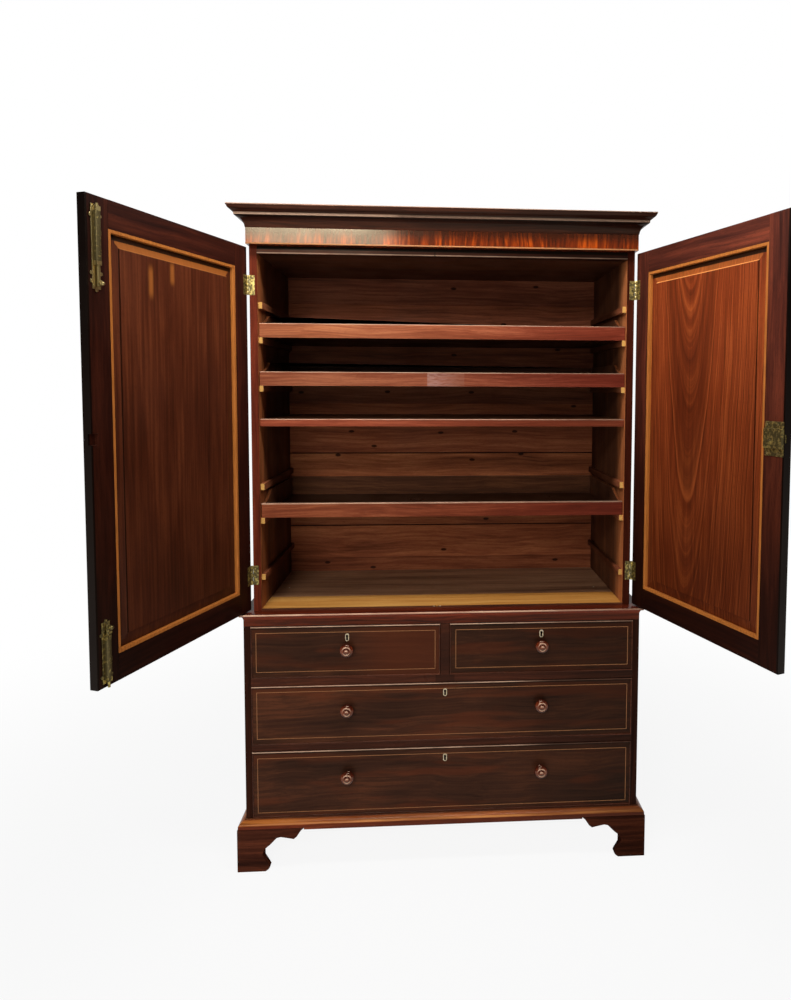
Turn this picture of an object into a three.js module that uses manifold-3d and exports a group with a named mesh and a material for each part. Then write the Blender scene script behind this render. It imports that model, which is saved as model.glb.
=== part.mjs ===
// A linen press in two parts: a chest of four drawers on bracket feet, and over it a
// cupboard with three sliding trays and a shelf behind two panelled doors, under a cornice.
// Millimetres, +Z up. X runs across the front, and +Y runs to the back.
// The doors are modelled as they stand open.

import * as THREE from "three";
import * as BufferGeometryUtils from "three/addons/utils/BufferGeometryUtils.js";
import Module from "manifold-3d";

const wasm = await Module();
wasm.setup();

// Clearances
const runningGap = 0.3;
const cutOverrun = 5;

// Base carcase
const baseHalfWidth = 625;
const baseDepth = 490;
const baseSideThickness = 20;
const baseTopThickness = 23;
const backThickness = 10;
const footHeight = 135;
const plinthHeight = 25;
const baseBottomThickness = 19;
const upperRailThickness = 23;
const lowerRailThickness = 19;
const dividerHalfWidth = 14.5;
const dividerDepth = 60;
const guideHeight = 14;

// Drawer openings, one above the other
const bottomOpeningHeight = 214.5;
const middleOpeningHeight = 190.5;
const topOpeningHeight = 167;

// Drawers
const drawerClearance = 1;
const drawerFrontThickness = 20;
const cockbeadWidth = 4;
const cockbeadProud = 2.5;
const drawerSideThickness = 10;
const drawerBottomThickness = 8;
const drawerBoxDrop = 12;
const drawerBackGap = 22;

// Turned knobs
const knobDiameter = 43;
const knobReach = 32;
const knobSpacing = 307;
const knobDowelDiameter = 12;
const knobDowelLength = 16;
const topKnobRise = 7.5;
const middleKnobRise = 16;
const bottomKnobRise = 22;

// Plinth moulding and bracket feet
const plinthProjection = 21;
const footProjection = 23;
const footWidth = 205;
const footBoardThickness = 22;
const backFootWidth = 150;
const glueBlockSize = 48;

// Waist moulding, which frames the foot of the upper case
const waistHeight = 17;
const waistProjection = 12;

// Upper case
const caseStepIn = 25;
const caseSideThickness = 23;
const caseFrontY = 30;
const caseFloorThickness = 21;
const caseTopThickness = 23.5;
const grooveWidth = 2;
const grooveDepth = 1.5;

// Shelf, tray runners and trays, each level counted from the one below it
const emptyRunnerRise = 131;
const lowerTrayRise = 178.5;
const shelfRise = 287.5;
const middleTrayRise = 126.5;
const topTrayRise = 149.5;
const caseHeadroom = 277.5;
const innerSetBack = 12;
const shelfThickness = 23;
const runnerWidth = 12;
const runnerFrontGap = 10;
const kickerHeight = 20;
const kickerGap = 12.7;
const trayFrontHeight = 44;
const traySideRise = 31;
const trayScoopLength = 96;
const trayFrontThickness = 14;
const traySideThickness = 9;
const trayBottomThickness = 8;
const traySideGap = 1.5;
const trayBackGap = 8;
const trayRunnerHeight = 18;

// Cornice
const friezeHeight = 48.5;
const friezeForward = 28;
const friezeSideways = 2.5;
const friezeThickness = 42;
const corniceHeight = 61;
const corniceProjection = 45.5;

// Doors
const openAngle = THREE.MathUtils.degToRad(109);
const doorThickness = 22;
const doorCaseGap = 1;
const doorFloorGap = 1;
const doorTopGap = 5.5;
const meetingGap = 2;
const hingeStileWidth = 58.5;
const freeStileWidth = 64;
const topRailWidth = 66.5;
const bottomRailWidth = 64.5;
const panelGrooveDepth = 10;
const panelGrooveWidth = 5.4;
const panelGrooveSetBack = 5.5;
const panelOuterSink = 3;
const fieldSink = 5;
const fieldMargin = 37;
const fieldBevel = 7;
const tenonShoulder = 15;

// Butt hinges
const hingeHeight = 60;
const hingeTopDistance = 84;
const hingeBottomDistance = 78;
const leafThickness = 1.6;
const leafWidth = 16;
const leafProud = 0.3;
const knuckleRadius = 3.8;
const knuckleCount = 5;
const hingePinRadius = 1.9;
const pinOutset = 4.5;

// Surface bolts on the left door
const boltCentreFromEdge = 25.5;
const boltPlateWidth = 23;
const boltPlateThickness = 2;
const boltRodRadius = 3.2;
const boltRodRise = 6.5;
const boltHoleRadius = 5;
const boltGuideWidth = 13;
const boltGuideHeight = 10;
const boltGuideRise = 11;
const boltKnobRadius = 5.5;
const boltKnobStemRadius = 3;
const boltKnobReach = 14;
const boltKnobThickness = 3;
const boltTailLength = 6;
const boltTipGap = 1.5;
const boltHoleSpare = 1.5;
const topBoltLength = 188;
const topBoltTravel = 14;
const topBoltPlateGap = 3;
const bottomBoltLength = 143;
const bottomBoltTravel = 11;
const bottomBoltPlateGap = 11;
const boltGuideInset = 5;

// Lock on the right door
const lockHeight = 85;
const lockWidth = 57;
const lockBottomFromDoor = 533;
const lockUpperFlange = 17;
const lockLowerFlange = 19;
const lockEdgeGap = 1.5;
const lockDepth = 9.8;
const lockProud = 8;
const lockPlateThickness = 2;
const lockBoltThickness = 5;
const lockBoltHeight = 20;
const lockBoltLength = 30;
const lockBoltSink = 2;
const lockBoltTravel = 11;
const strikeDepth = 19.5;
const strikeHeight = 26;

// Outlines, as shares of the width and height of what they shape
const bracketShares = [
  [0, 0], [0.424, 0], [0.463, 0.044], [0.488, 0.096], [0.463, 0.17], [0.42, 0.278],
  [0.376, 0.389], [0.39, 0.478], [0.429, 0.556], [0.488, 0.626], [0.546, 0.715],
  [0.595, 0.789], [0.654, 0.807], [0.756, 0.778], [0.849, 0.748], [0.893, 0.8],
  [0.932, 0.889], [0.961, 0.952], [1, 1], [0, 1],
];
const backBracketShares = [[0, 0], [0.4, 0], [0.5, 0.25], [0.62, 0.55], [1, 1], [0, 1]];
const corniceShares = [
  [0, 0], [0.035, 0.01], [0.04, 0.05], [0.07, 0.15], [0.13, 0.26], [0.21, 0.35],
  [0.3, 0.405], [0.42, 0.445], [0.5, 0.47], [0.57, 0.5], [0.61, 0.55], [0.6, 0.61],
  [0.64, 0.65], [0.71, 0.7], [0.79, 0.745], [0.88, 0.785], [0.93, 0.83], [0.96, 0.89],
  [1, 0.93], [1, 1],
];
const waistShares = [
  [0.1, 0], [0.12, 0.2], [0.3, 0.42], [0.6, 0.52], [0.87, 0.6], [1, 0.74], [1, 0.85],
  [0.87, 0.97], [0.7, 1],
];
const plinthShares = [
  [1, 0], [1, 0.38], [0.93, 0.5], [0.8, 0.62], [0.6, 0.74], [0.35, 0.83], [0.18, 0.88],
  [0.16, 1],
];
const scoopShares = [[0.12, 0], [0.35, 0.1], [0.58, 0.3], [0.78, 0.58], [0.92, 0.85], [1, 1]];
const knobShares = [
  [0, 0], [0.45, 0.04], [0.8, 0.16], [1, 0.4], [0.86, 0.58], [0.52, 0.68], [0.44, 0.78],
  [0.64, 0.9], [0.66, 1],
];
const backGrooveShares = [0.045, 0.157, 0.283, 0.406, 0.576, 0.785, 0.912];
const boltGuideShares = [0.28, 0.63];
const knobTurns = 16;
const rodTurns = 12;
const pinTurns = 8;

// Finishes
const finishes = {
  mahogany: { color: 0x5a2817, roughness: 0.32, metalness: 0 },
  doorMahogany: { color: 0x4a2018, roughness: 0.34, metalness: 0 },
  figuredVeneer: { color: 0x7a3412, roughness: 0.25, metalness: 0 },
  trayMahogany: { color: 0x7d4630, roughness: 0.4, metalness: 0 },
  oak: { color: 0x7a4e24, roughness: 0.6, metalness: 0 },
  pine: { color: 0x6e4a2a, roughness: 0.7, metalness: 0 },
  brass: { color: 0xa98b4a, roughness: 0.3, metalness: 1 },
};

// Levels of the base, from the floor up
const bottomOpeningZ = footHeight + plinthHeight;
const lowerRailZ = bottomOpeningZ + bottomOpeningHeight;
const middleOpeningZ = lowerRailZ + lowerRailThickness;
const upperRailZ = middleOpeningZ + middleOpeningHeight;
const topOpeningZ = upperRailZ + upperRailThickness;
const baseTopZ = topOpeningZ + topOpeningHeight;
const caseBottomZ = baseTopZ + baseTopThickness;
const baseInnerHalf = baseHalfWidth - baseSideThickness;
const baseInnerDepth = baseDepth - backThickness;

// Levels of the upper case
const caseHalfWidth = baseHalfWidth - caseStepIn;
const caseInnerHalf = caseHalfWidth - caseSideThickness;
const caseFloorZ = caseBottomZ + caseFloorThickness;
const emptyRunnerZ = caseBottomZ + emptyRunnerRise;
const lowerTrayZ = emptyRunnerZ + lowerTrayRise;
const shelfZ = lowerTrayZ + shelfRise;
const middleTrayZ = shelfZ + middleTrayRise;
const topTrayZ = middleTrayZ + topTrayRise;
const caseTopZ = topTrayZ + caseHeadroom;
const kickerRise = runningGap + trayFrontHeight + traySideRise + kickerGap;
const caseCeilingZ = caseTopZ - caseTopThickness;
const innerFrontY = caseFrontY + innerSetBack;
const friezeTopZ = caseTopZ + friezeHeight;
const corniceTopZ = friezeTopZ + corniceHeight;

// Door places, from the pin: along the door, through it (inner side positive), and up
const pinX = caseHalfWidth + pinOutset;
const pinY = caseFrontY - doorCaseGap / 2;
const innerFace = -doorCaseGap / 2;
const outerFace = innerFace - doorThickness;
const freeEdge = pinX - meetingGap / 2;
const doorBottomZ = caseFloorZ + doorFloorGap;
const doorTopZ = caseTopZ - doorTopGap;
const hingeStileEnd = pinOutset + hingeStileWidth;
const freeStileStart = freeEdge - freeStileWidth;
const topRailZ = doorTopZ - topRailWidth;
const bottomRailZ = doorBottomZ + bottomRailWidth;
const grooveOuter = outerFace + panelGrooveSetBack;
const grooveInner = grooveOuter + panelGrooveWidth;
const boltAlong = freeEdge - boltCentreFromEdge;
const boltX = boltAlong - pinX;
const boltY = pinY + boltRodRise;
const lockEnd = freeEdge - lockEdgeGap;
const lockStart = lockEnd - lockWidth;
const lockBottomZ = doorBottomZ + lockBottomFromDoor;
const lockTopZ = lockBottomZ + lockHeight;
const lockBodyBottomZ = lockBottomZ + lockLowerFlange;
const lockBodyTopZ = lockTopZ - lockUpperFlange;
const lockMiddleZ = (lockBodyBottomZ + lockBodyTopZ) / 2;
const lockBoltInner = innerFace - lockBoltSink;
const lockBoltOuter = lockBoltInner - lockBoltThickness;

// The origin lies on the floor, in the middle of the box that the open doors reach
const doorReachY = openReach(freeEdge, innerFace);
const lockReachY = openReach(lockEnd, lockProud);
const middleY = (Math.min(doorReachY, lockReachY) + baseDepth) / 2;

// How far forward a place on an open door comes, from its distance along and through it.
function openReach(along, inward) {
  return pinY - along * Math.sin(openAngle) + inward * Math.cos(openAngle);
}

// Turns the faces of a closed geometry outward and makes a solid that can be joined and cut.
function solidOf(geometry) {
  const bare = geometry.clone();
  bare.deleteAttribute("normal");
  bare.deleteAttribute("uv");
  const merged = BufferGeometryUtils.mergeVertices(bare);
  const vertProperties = new Float32Array(merged.attributes.position.array);
  const triVerts = new Uint32Array(merged.index.array);
  if (signedVolume(vertProperties, triVerts) < 0) {
    for (let i = 0; i < triVerts.length; i += 3) {
      const second = triVerts[i + 1];
      triVerts[i + 1] = triVerts[i + 2];
      triVerts[i + 2] = second;
    }
  }
  return new wasm.Manifold(new wasm.Mesh({ numProp: 3, vertProperties, triVerts }));
}

function signedVolume(points, triangles) {
  const corner = (i) => new THREE.Vector3().fromArray(points, 3 * triangles[i]);
  let volume = 0;
  for (let i = 0; i < triangles.length; i += 3) {
    volume += corner(i).dot(corner(i + 1).cross(corner(i + 2)));
  }
  return volume;
}

function geometryOf(solid) {
  const { vertProperties, triVerts } = solid.getMesh();
  const geometry = new THREE.BufferGeometry();
  geometry.setAttribute("position", new THREE.BufferAttribute(vertProperties, 3));
  geometry.setIndex(new THREE.BufferAttribute(triVerts, 1));
  geometry.computeVertexNormals();
  return geometry;
}

function ordered(a, b) {
  return [Math.min(a, b), Math.max(a, b)];
}

function joined(solids) {
  return solids.reduce((whole, solid) => whole.add(solid));
}

function cutBy(solid, cutters) {
  return cutters.reduce((left, cutter) => left.subtract(cutter), solid);
}

// A block between two corners. A far face of another size makes it a frustum along Y.
function block(x0, x1, y0, y1, z0, z1, farInset = 0) {
  const geometry = new THREE.BoxGeometry();
  const corners = geometry.attributes.position;
  for (let i = 0; i < corners.count; i++) {
    const far = corners.getY(i) > 0;
    const inset = far ? farInset : 0;
    const x = corners.getX(i) < 0 ? x0 + inset : x1 - inset;
    const z = corners.getZ(i) < 0 ? z0 + inset : z1 - inset;
    corners.setXYZ(i, x, far ? y1 : y0, z);
  }
  return solidOf(geometry);
}

// Extrudes an outline of two-coordinate points between two places along the axis left over.
function prism(axis, outline, from, to) {
  const shape = new THREE.Shape(outline.map(([u, v]) => new THREE.Vector2(u, v)));
  const geometry = new THREE.ExtrudeGeometry(shape, { depth: 1, bevelEnabled: false });
  const corners = geometry.attributes.position;
  for (let i = 0; i < corners.count; i++) {
    const u = corners.getX(i);
    const v = corners.getY(i);
    const w = corners.getZ(i) > 0 ? to : from;
    if (axis === "x") {
      corners.setXYZ(i, w, u, v);
    } else {
      corners.setXYZ(i, u, w, v);
    }
  }
  return solidOf(geometry);
}

// A cylinder along one axis, from one place to another on it.
function cylinder(axis, radius, centre, from, to, turns) {
  const geometry = new THREE.CylinderGeometry(radius, radius, to - from, turns);
  geometry.translate(0, (from + to) / 2, 0);
  if (axis === "z") {
    geometry.rotateX(Math.PI / 2);
    geometry.translate(centre[0], centre[1], 0);
  } else {
    geometry.translate(centre[0], 0, centre[1]);
  }
  return solidOf(geometry);
}

// A moulding that runs up one side, along the front and back down the other side, mitred at
// the corners. Each profile point has its reach past the side, past the front, and a height.
function mouldingRound(profile, halfWidth, frontY, backY) {
  const stations = [
    ([side, , z]) => [-halfWidth - side, backY, z],
    ([side, front, z]) => [-halfWidth - side, frontY - front, z],
    ([side, front, z]) => [halfWidth + side, frontY - front, z],
    ([side, , z]) => [halfWidth + side, backY, z],
  ];
  const positions = stations.flatMap((station) => profile.flatMap(station));
  const count = profile.length;
  const index = [];
  for (let s = 0; s < stations.length - 1; s++) {
    for (let i = 0; i < count; i++) {
      const a = s * count + i;
      const b = s * count + ((i + 1) % count);
      index.push(a, b, a + count, b, b + count, a + count);
    }
  }
  const outline = profile.map(([side, , z]) => new THREE.Vector2(side, z));
  const last = (stations.length - 1) * count;
  for (const [a, b, c] of THREE.ShapeUtils.triangulateShape(outline, [])) {
    if (THREE.ShapeUtils.isClockWise(outline)) {
      index.push(a, b, c, last + a, last + c, last + b);
    } else {
      index.push(a, c, b, last + a, last + b, last + c);
    }
  }
  const geometry = new THREE.BufferGeometry();
  geometry.setAttribute("position", new THREE.Float32BufferAttribute(positions, 3));
  geometry.setIndex(index);
  return solidOf(geometry);
}

// Places the outer points of a moulding by their shares, with equal reach to side and front.
function profileOf(shares, projection, bottomZ, height) {
  return shares.map(([out, up]) => [out * projection, out * projection, bottomZ + up * height]);
}

function piece(name, finish, solid) {
  const mesh = new THREE.Mesh(geometryOf(solid), new THREE.MeshStandardMaterial(finish));
  mesh.name = name;
  return mesh;
}

// The base: carcase, rails, mouldings and feet.
function baseCarcase() {
  const sideFrom = baseInnerHalf;
  const sideTo = baseHalfWidth;
  const sides = [
    ["base_side_left", -sideTo, -sideFrom],
    ["base_side_right", sideFrom, sideTo],
  ].map(([name, x0, x1]) => (
    piece(name, finishes.mahogany, block(x0, x1, 0, baseDepth, footHeight, baseTopZ))
  ));
  const bottom = block(
    -baseInnerHalf, baseInnerHalf, 0, baseInnerDepth,
    bottomOpeningZ - baseBottomThickness, bottomOpeningZ,
  );
  const back = block(
    -baseInnerHalf, baseInnerHalf, baseInnerDepth, baseDepth, footHeight, baseTopZ,
  );
  return [
    ...sides,
    piece("base_bottom_board", finishes.pine, bottom),
    piece("base_back_boards", finishes.pine, back),
    piece("base_top_board", finishes.mahogany, baseTop()),
    piece("drawer_rail_lower", finishes.mahogany, dustboard(lowerRailZ, lowerRailThickness)),
    piece("drawer_rail_upper", finishes.mahogany, dividedDustboard()),
    piece("plinth_moulding", finishes.mahogany, plinthMoulding()),
  ];
}

function baseTop() {
  const slab = block(-baseHalfWidth, baseHalfWidth, 0, baseDepth, baseTopZ, caseBottomZ);
  const sideInner = caseHalfWidth + runningGap - baseHalfWidth;
  const frontInner = runningGap - caseFrontY;
  const profile = [
    [sideInner, frontInner, caseBottomZ],
    ...profileOf(waistShares, waistProjection, caseBottomZ, waistHeight),
    [sideInner, frontInner, caseBottomZ + waistHeight],
  ];
  return slab.add(mouldingRound(profile, baseHalfWidth, 0, baseDepth));
}

// A rail and the full dustboard behind it, which the drawers above run on.
function dustboard(bottomZ, thickness) {
  return block(-baseInnerHalf, baseInnerHalf, 0, baseInnerDepth, bottomZ, bottomZ + thickness);
}

// The upper rail also carries the post between the small drawers and their guide.
function dividedDustboard() {
  return joined([
    dustboard(upperRailZ, upperRailThickness),
    block(-dividerHalfWidth, dividerHalfWidth, 0, dividerDepth, topOpeningZ, baseTopZ),
    block(
      -dividerHalfWidth, dividerHalfWidth, dividerDepth, baseInnerDepth,
      topOpeningZ, topOpeningZ + guideHeight,
    ),
  ]);
}

function plinthMoulding() {
  const profile = [
    [0, 0, footHeight],
    ...profileOf(plinthShares, plinthProjection, footHeight, plinthHeight),
    [0, 0, footHeight + plinthHeight],
  ];
  return mouldingRound(profile, baseHalfWidth, 0, baseDepth);
}

// A shaped bracket to the front, one to the side, and the glue block behind them.
function frontFoot(side) {
  const outerX = baseHalfWidth + footProjection;
  const across = bracketShares.map(([u, v]) => [side * (outerX - u * footWidth), v * footHeight]);
  const along = bracketShares.map(([u, v]) => [u * footWidth - footProjection, v * footHeight]);
  const innerX = outerX - footBoardThickness;
  const innerY = footBoardThickness - footProjection;
  return joined([
    prism("y", across, -footProjection, innerY),
    prism("x", along, ...ordered(side * outerX, side * innerX)),
    block(
      ...ordered(side * innerX, side * (innerX - glueBlockSize)),
      innerY, innerY + glueBlockSize, 0, footHeight,
    ),
  ]);
}

// A shaped bracket to the side and a plain one across the back.
function backFoot(side) {
  const outerX = baseHalfWidth + footProjection;
  const innerX = outerX - footBoardThickness;
  const innerY = baseDepth - footBoardThickness;
  const along = bracketShares.map(([u, v]) => [baseDepth - u * footWidth, v * footHeight]);
  const across = backBracketShares.map(([u, v]) => (
    [side * (outerX - u * backFootWidth), v * footHeight]
  ));
  return joined([
    prism("x", along, ...ordered(side * outerX, side * innerX)),
    prism("y", across, innerY, baseDepth),
    block(
      ...ordered(side * innerX, side * (innerX - glueBlockSize)),
      innerY - glueBlockSize, innerY, 0, footHeight,
    ),
  ]);
}

function feet() {
  return [
    piece("foot_front_left", finishes.mahogany, frontFoot(-1)),
    piece("foot_front_right", finishes.mahogany, frontFoot(1)),
    piece("foot_back_left", finishes.mahogany, backFoot(-1)),
    piece("foot_back_right", finishes.mahogany, backFoot(1)),
  ];
}

// A drawer front with its cockbead, the box behind it, and its knobs.
function drawer(name, x0, x1, openingZ, openingHeight, rise, knobPlaces) {
  const left = x0 + drawerClearance;
  const right = x1 - drawerClearance;
  const bottomZ = openingZ + drawerClearance;
  const topZ = openingZ + openingHeight - drawerClearance;
  const knobZ = openingZ + openingHeight / 2 + rise;
  const holeRadius = knobDowelDiameter / 2 + runningGap;
  const holeEnd = knobDowelLength + runningGap;
  const holes = knobPlaces.map(([, x]) => (
    cylinder("y", holeRadius, [x, knobZ], -cutOverrun, holeEnd, rodTurns)
  ));
  const front = cutBy(beadedFront(left, right, bottomZ, topZ), holes);
  const box = drawerBox(left, right, openingZ + runningGap, topZ - drawerBoxDrop);
  return [
    piece(`${name}_front`, finishes.mahogany, front),
    piece(`${name}_box`, finishes.oak, box),
    ...knobPlaces.map(([knobName, x]) => piece(knobName, finishes.mahogany, knob(x, knobZ))),
  ];
}

function beadedFront(x0, x1, z0, z1) {
  const board = block(x0, x1, 0, drawerFrontThickness, z0, z1);
  const bead = block(x0, x1, -cockbeadProud, cockbeadWidth, z0, z1);
  const field = block(
    x0 + cockbeadWidth, x1 - cockbeadWidth, -cutOverrun, 0, z0 + cockbeadWidth, z1 - cockbeadWidth,
  );
  return board.add(bead).subtract(field);
}

function drawerBox(x0, x1, z0, z1) {
  const y0 = drawerFrontThickness;
  const y1 = baseInnerDepth - drawerBackGap;
  return joined([
    block(x0, x1, y0, y1, z0, z0 + drawerBottomThickness),
    block(x0, x0 + drawerSideThickness, y0, y1, z0, z1),
    block(x1 - drawerSideThickness, x1, y0, y1, z0, z1),
    block(x0, x1, y1 - drawerSideThickness, y1, z0, z1),
  ]);
}

// A turned knob on its dowel, standing out to the front.
function knob(x, z) {
  const head = knobShares.map(([out, back]) => (
    new THREE.Vector2(out * knobDiameter / 2, (back - 1) * knobReach)
  ));
  const dowel = [
    new THREE.Vector2(knobDowelDiameter / 2, 0),
    new THREE.Vector2(knobDowelDiameter / 2, knobDowelLength),
    new THREE.Vector2(0, knobDowelLength),
  ];
  const geometry = new THREE.LatheGeometry([...head, ...dowel], knobTurns);
  geometry.translate(x, 0, z);
  return solidOf(geometry);
}

function drawers() {
  const outer = baseInnerHalf;
  const topRow = [topOpeningZ, topOpeningHeight, topKnobRise];
  const middleRow = [middleOpeningZ, middleOpeningHeight, middleKnobRise];
  const bottomRow = [bottomOpeningZ, bottomOpeningHeight, bottomKnobRise];
  const pair = (row) => [
    [`knob_${row}_left`, -knobSpacing],
    [`knob_${row}_right`, knobSpacing],
  ];
  const [topLeft, topRight] = pair("top");
  return [
    ...drawer("drawer_top_left", -outer, -dividerHalfWidth, ...topRow, [topLeft]),
    ...drawer("drawer_top_right", dividerHalfWidth, outer, ...topRow, [topRight]),
    ...drawer("drawer_middle", -outer, outer, ...middleRow, pair("middle")),
    ...drawer("drawer_bottom", -outer, outer, ...bottomRow, pair("bottom")),
  ];
}

// The upper case: sides with the tray runners, floor, top, back, shelf and cornice.
function upperCase() {
  const floorHole = boltHole(caseFloorZ - bottomBoltReach(), caseFloorZ + cutOverrun);
  const topHole = boltHole(caseCeilingZ - cutOverrun, caseCeilingZ + topBoltReach());
  const inner = caseInnerHalf;
  const innerBack = baseInnerDepth;
  const floor = block(-inner, inner, caseFrontY, innerBack, caseBottomZ, caseFloorZ);
  const top = block(-inner, inner, caseFrontY, innerBack, caseCeilingZ, caseTopZ);
  const shelf = block(-inner, inner, innerFrontY, innerBack, shelfZ, shelfZ + shelfThickness);
  return [
    piece("upper_side_left", finishes.mahogany, caseSide(-1)),
    piece("upper_side_right", finishes.mahogany, caseSide(1)),
    piece("upper_floor", finishes.oak, floor.subtract(floorHole)),
    piece("upper_top_board", finishes.mahogany, top.subtract(topHole)),
    piece("upper_back_boards", finishes.pine, backBoards()),
    piece("shelf", finishes.trayMahogany, shelf),
    piece("cornice", finishes.figuredVeneer, cornice()),
  ];
}

function bottomBoltReach() {
  return bottomBoltTravel - boltTipGap + boltHoleSpare;
}

function topBoltReach() {
  return topBoltTravel - boltTipGap + boltHoleSpare;
}

function boltHole(z0, z1) {
  return cylinder("z", boltHoleRadius, [boltX, boltY], z0, z1, rodTurns);
}

// Each side carries three pairs of runners, the empty runner, and the strips over the trays.
function caseSide(side) {
  const across = (x0, x1) => ordered(side * x0, side * x1);
  const board = block(
    ...across(caseInnerHalf, caseHalfWidth), caseFrontY, baseDepth, caseBottomZ, caseTopZ,
  );
  const strip = (z, height) => block(
    ...across(caseInnerHalf - runnerWidth, caseInnerHalf),
    caseFrontY + runnerFrontGap, baseInnerDepth, z, z + height,
  );
  const runner = (trayZ) => strip(trayZ - trayRunnerHeight, trayRunnerHeight);
  const kicker = (trayZ) => strip(trayZ + kickerRise, kickerHeight);
  const solid = joined([
    board,
    runner(emptyRunnerZ),
    runner(lowerTrayZ),
    runner(middleTrayZ),
    runner(topTrayZ),
    kicker(lowerTrayZ),
    kicker(topTrayZ),
  ]);
  const recesses = hingePlaces().map((z) => block(
    ...across(caseHalfWidth - leafWidth - runningGap, caseHalfWidth + cutOverrun),
    caseFrontY - cutOverrun, caseFrontY + leafThickness,
    z - runningGap, z + hingeHeight + runningGap,
  ));
  return cutBy(solid, recesses);
}

function hingePlaces() {
  return [doorBottomZ + hingeBottomDistance, doorTopZ - hingeTopDistance - hingeHeight];
}

function backBoards() {
  const inner = caseInnerHalf;
  const boards = block(-inner, inner, baseInnerDepth, baseDepth, caseBottomZ, caseTopZ);
  const grooves = backGrooveShares.map((share) => {
    const z = caseFloorZ + share * (caseCeilingZ - caseFloorZ);
    return block(
      -inner - cutOverrun, inner + cutOverrun,
      baseInnerDepth - cutOverrun, baseInnerDepth + grooveDepth, z, z + grooveWidth,
    );
  });
  return cutBy(boards, grooves);
}

function cornice() {
  const profile = [
    [-friezeThickness, -friezeThickness, caseTopZ],
    [0, 0, caseTopZ],
    ...profileOf(corniceShares, corniceProjection, friezeTopZ, corniceHeight),
    [-friezeThickness, -friezeThickness, corniceTopZ],
  ];
  const frontY = caseFrontY - friezeForward;
  return mouldingRound(profile, caseHalfWidth + friezeSideways, frontY, baseDepth);
}

// A sliding tray with a low front and sides that sweep up behind it.
function tray(name, runnerZ) {
  const half = caseInnerHalf - traySideGap;
  const bottomZ = runnerZ + runningGap;
  const frontTopZ = bottomZ + trayFrontHeight;
  const sideTopZ = frontTopZ + traySideRise;
  const backY = baseInnerDepth - trayBackGap;
  const scoop = scoopShares.map(([along, up]) => (
    [innerFrontY + along * trayScoopLength, frontTopZ + up * traySideRise]
  ));
  const outline = [
    [backY, bottomZ],
    [innerFrontY, bottomZ],
    [innerFrontY, frontTopZ],
    ...scoop,
    [backY, sideTopZ],
  ];
  const boardBackY = backY - traySideThickness;
  return piece(name, finishes.trayMahogany, joined([
    prism("x", outline, -half, traySideThickness - half),
    prism("x", outline, half - traySideThickness, half),
    block(-half, half, innerFrontY, backY, bottomZ, bottomZ + trayBottomThickness),
    block(-half, half, innerFrontY, innerFrontY + trayFrontThickness, bottomZ, frontTopZ),
    block(-half, half, boardBackY, backY, bottomZ, sideTopZ),
  ]));
}

function trays() {
  return [
    tray("tray_top", topTrayZ),
    tray("tray_middle", middleTrayZ),
    tray("tray_lower", lowerTrayZ),
  ];
}

// Door pieces are placed from the pin: along the door, through its thickness, and up. The
// left door (side -1) runs to +X when closed, and the right one (side 1) to -X.
function doorBlock(side, a0, a1, n0, n1, z0, z1, farInset = 0) {
  return block(...ordered(-side * a0, -side * a1), n0, n1, z0, z1, farInset);
}

function doorName(side) {
  return side < 0 ? "left" : "right";
}

// The groove that takes the panel and the stub tenons, between two heights.
function panelGroove(side, a0, a1, z0, z1) {
  return doorBlock(side, a0, a1, grooveOuter, grooveInner, z0, z1);
}

function hingeStile(side) {
  const stile = doorBlock(
    side, pinOutset, hingeStileEnd, outerFace, innerFace, doorBottomZ, doorTopZ,
  );
  const groove = panelGroove(
    side, hingeStileEnd - panelGrooveDepth, hingeStileEnd + cutOverrun,
    doorBottomZ - cutOverrun, doorTopZ + cutOverrun,
  );
  const recesses = hingePlaces().map((z) => doorBlock(
    side, pinOutset - cutOverrun, pinOutset + leafWidth + runningGap,
    innerFace - leafThickness, innerFace + cutOverrun,
    z - runningGap, z + hingeHeight + runningGap,
  ));
  return cutBy(stile, [groove, ...recesses]);
}

function freeStile(side) {
  const stile = doorBlock(
    side, freeStileStart, freeEdge, outerFace, innerFace, doorBottomZ, doorTopZ,
  );
  const groove = panelGroove(
    side, freeStileStart - cutOverrun, freeStileStart + panelGrooveDepth,
    doorBottomZ - cutOverrun, doorTopZ + cutOverrun,
  );
  const seats = side < 0 ? [strikeNotch(side)] : lockSeat(side);
  return cutBy(stile, [groove, ...seats]);
}

// The notch in the left door that the lock's bolt enters.
function strikeNotch(side) {
  return doorBlock(
    side, freeEdge - strikeDepth, freeEdge + cutOverrun,
    lockBoltOuter - runningGap - boltTipGap, innerFace + cutOverrun,
    lockMiddleZ - strikeHeight / 2, lockMiddleZ + strikeHeight / 2,
  );
}

// The recess for the lock's case, and the slot that lets its bolt out of the edge.
function lockSeat(side) {
  const recess = doorBlock(
    side, lockStart - runningGap, lockEnd + runningGap,
    innerFace - lockDepth - runningGap, innerFace + cutOverrun,
    lockBodyBottomZ - runningGap, lockBodyTopZ + runningGap,
  );
  const slot = doorBlock(
    side, lockEnd, freeEdge + cutOverrun,
    lockBoltOuter - runningGap, lockBoltInner + runningGap,
    lockMiddleZ - lockBoltHeight / 2 - runningGap, lockMiddleZ + lockBoltHeight / 2 + runningGap,
  );
  return [recess, slot];
}

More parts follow.
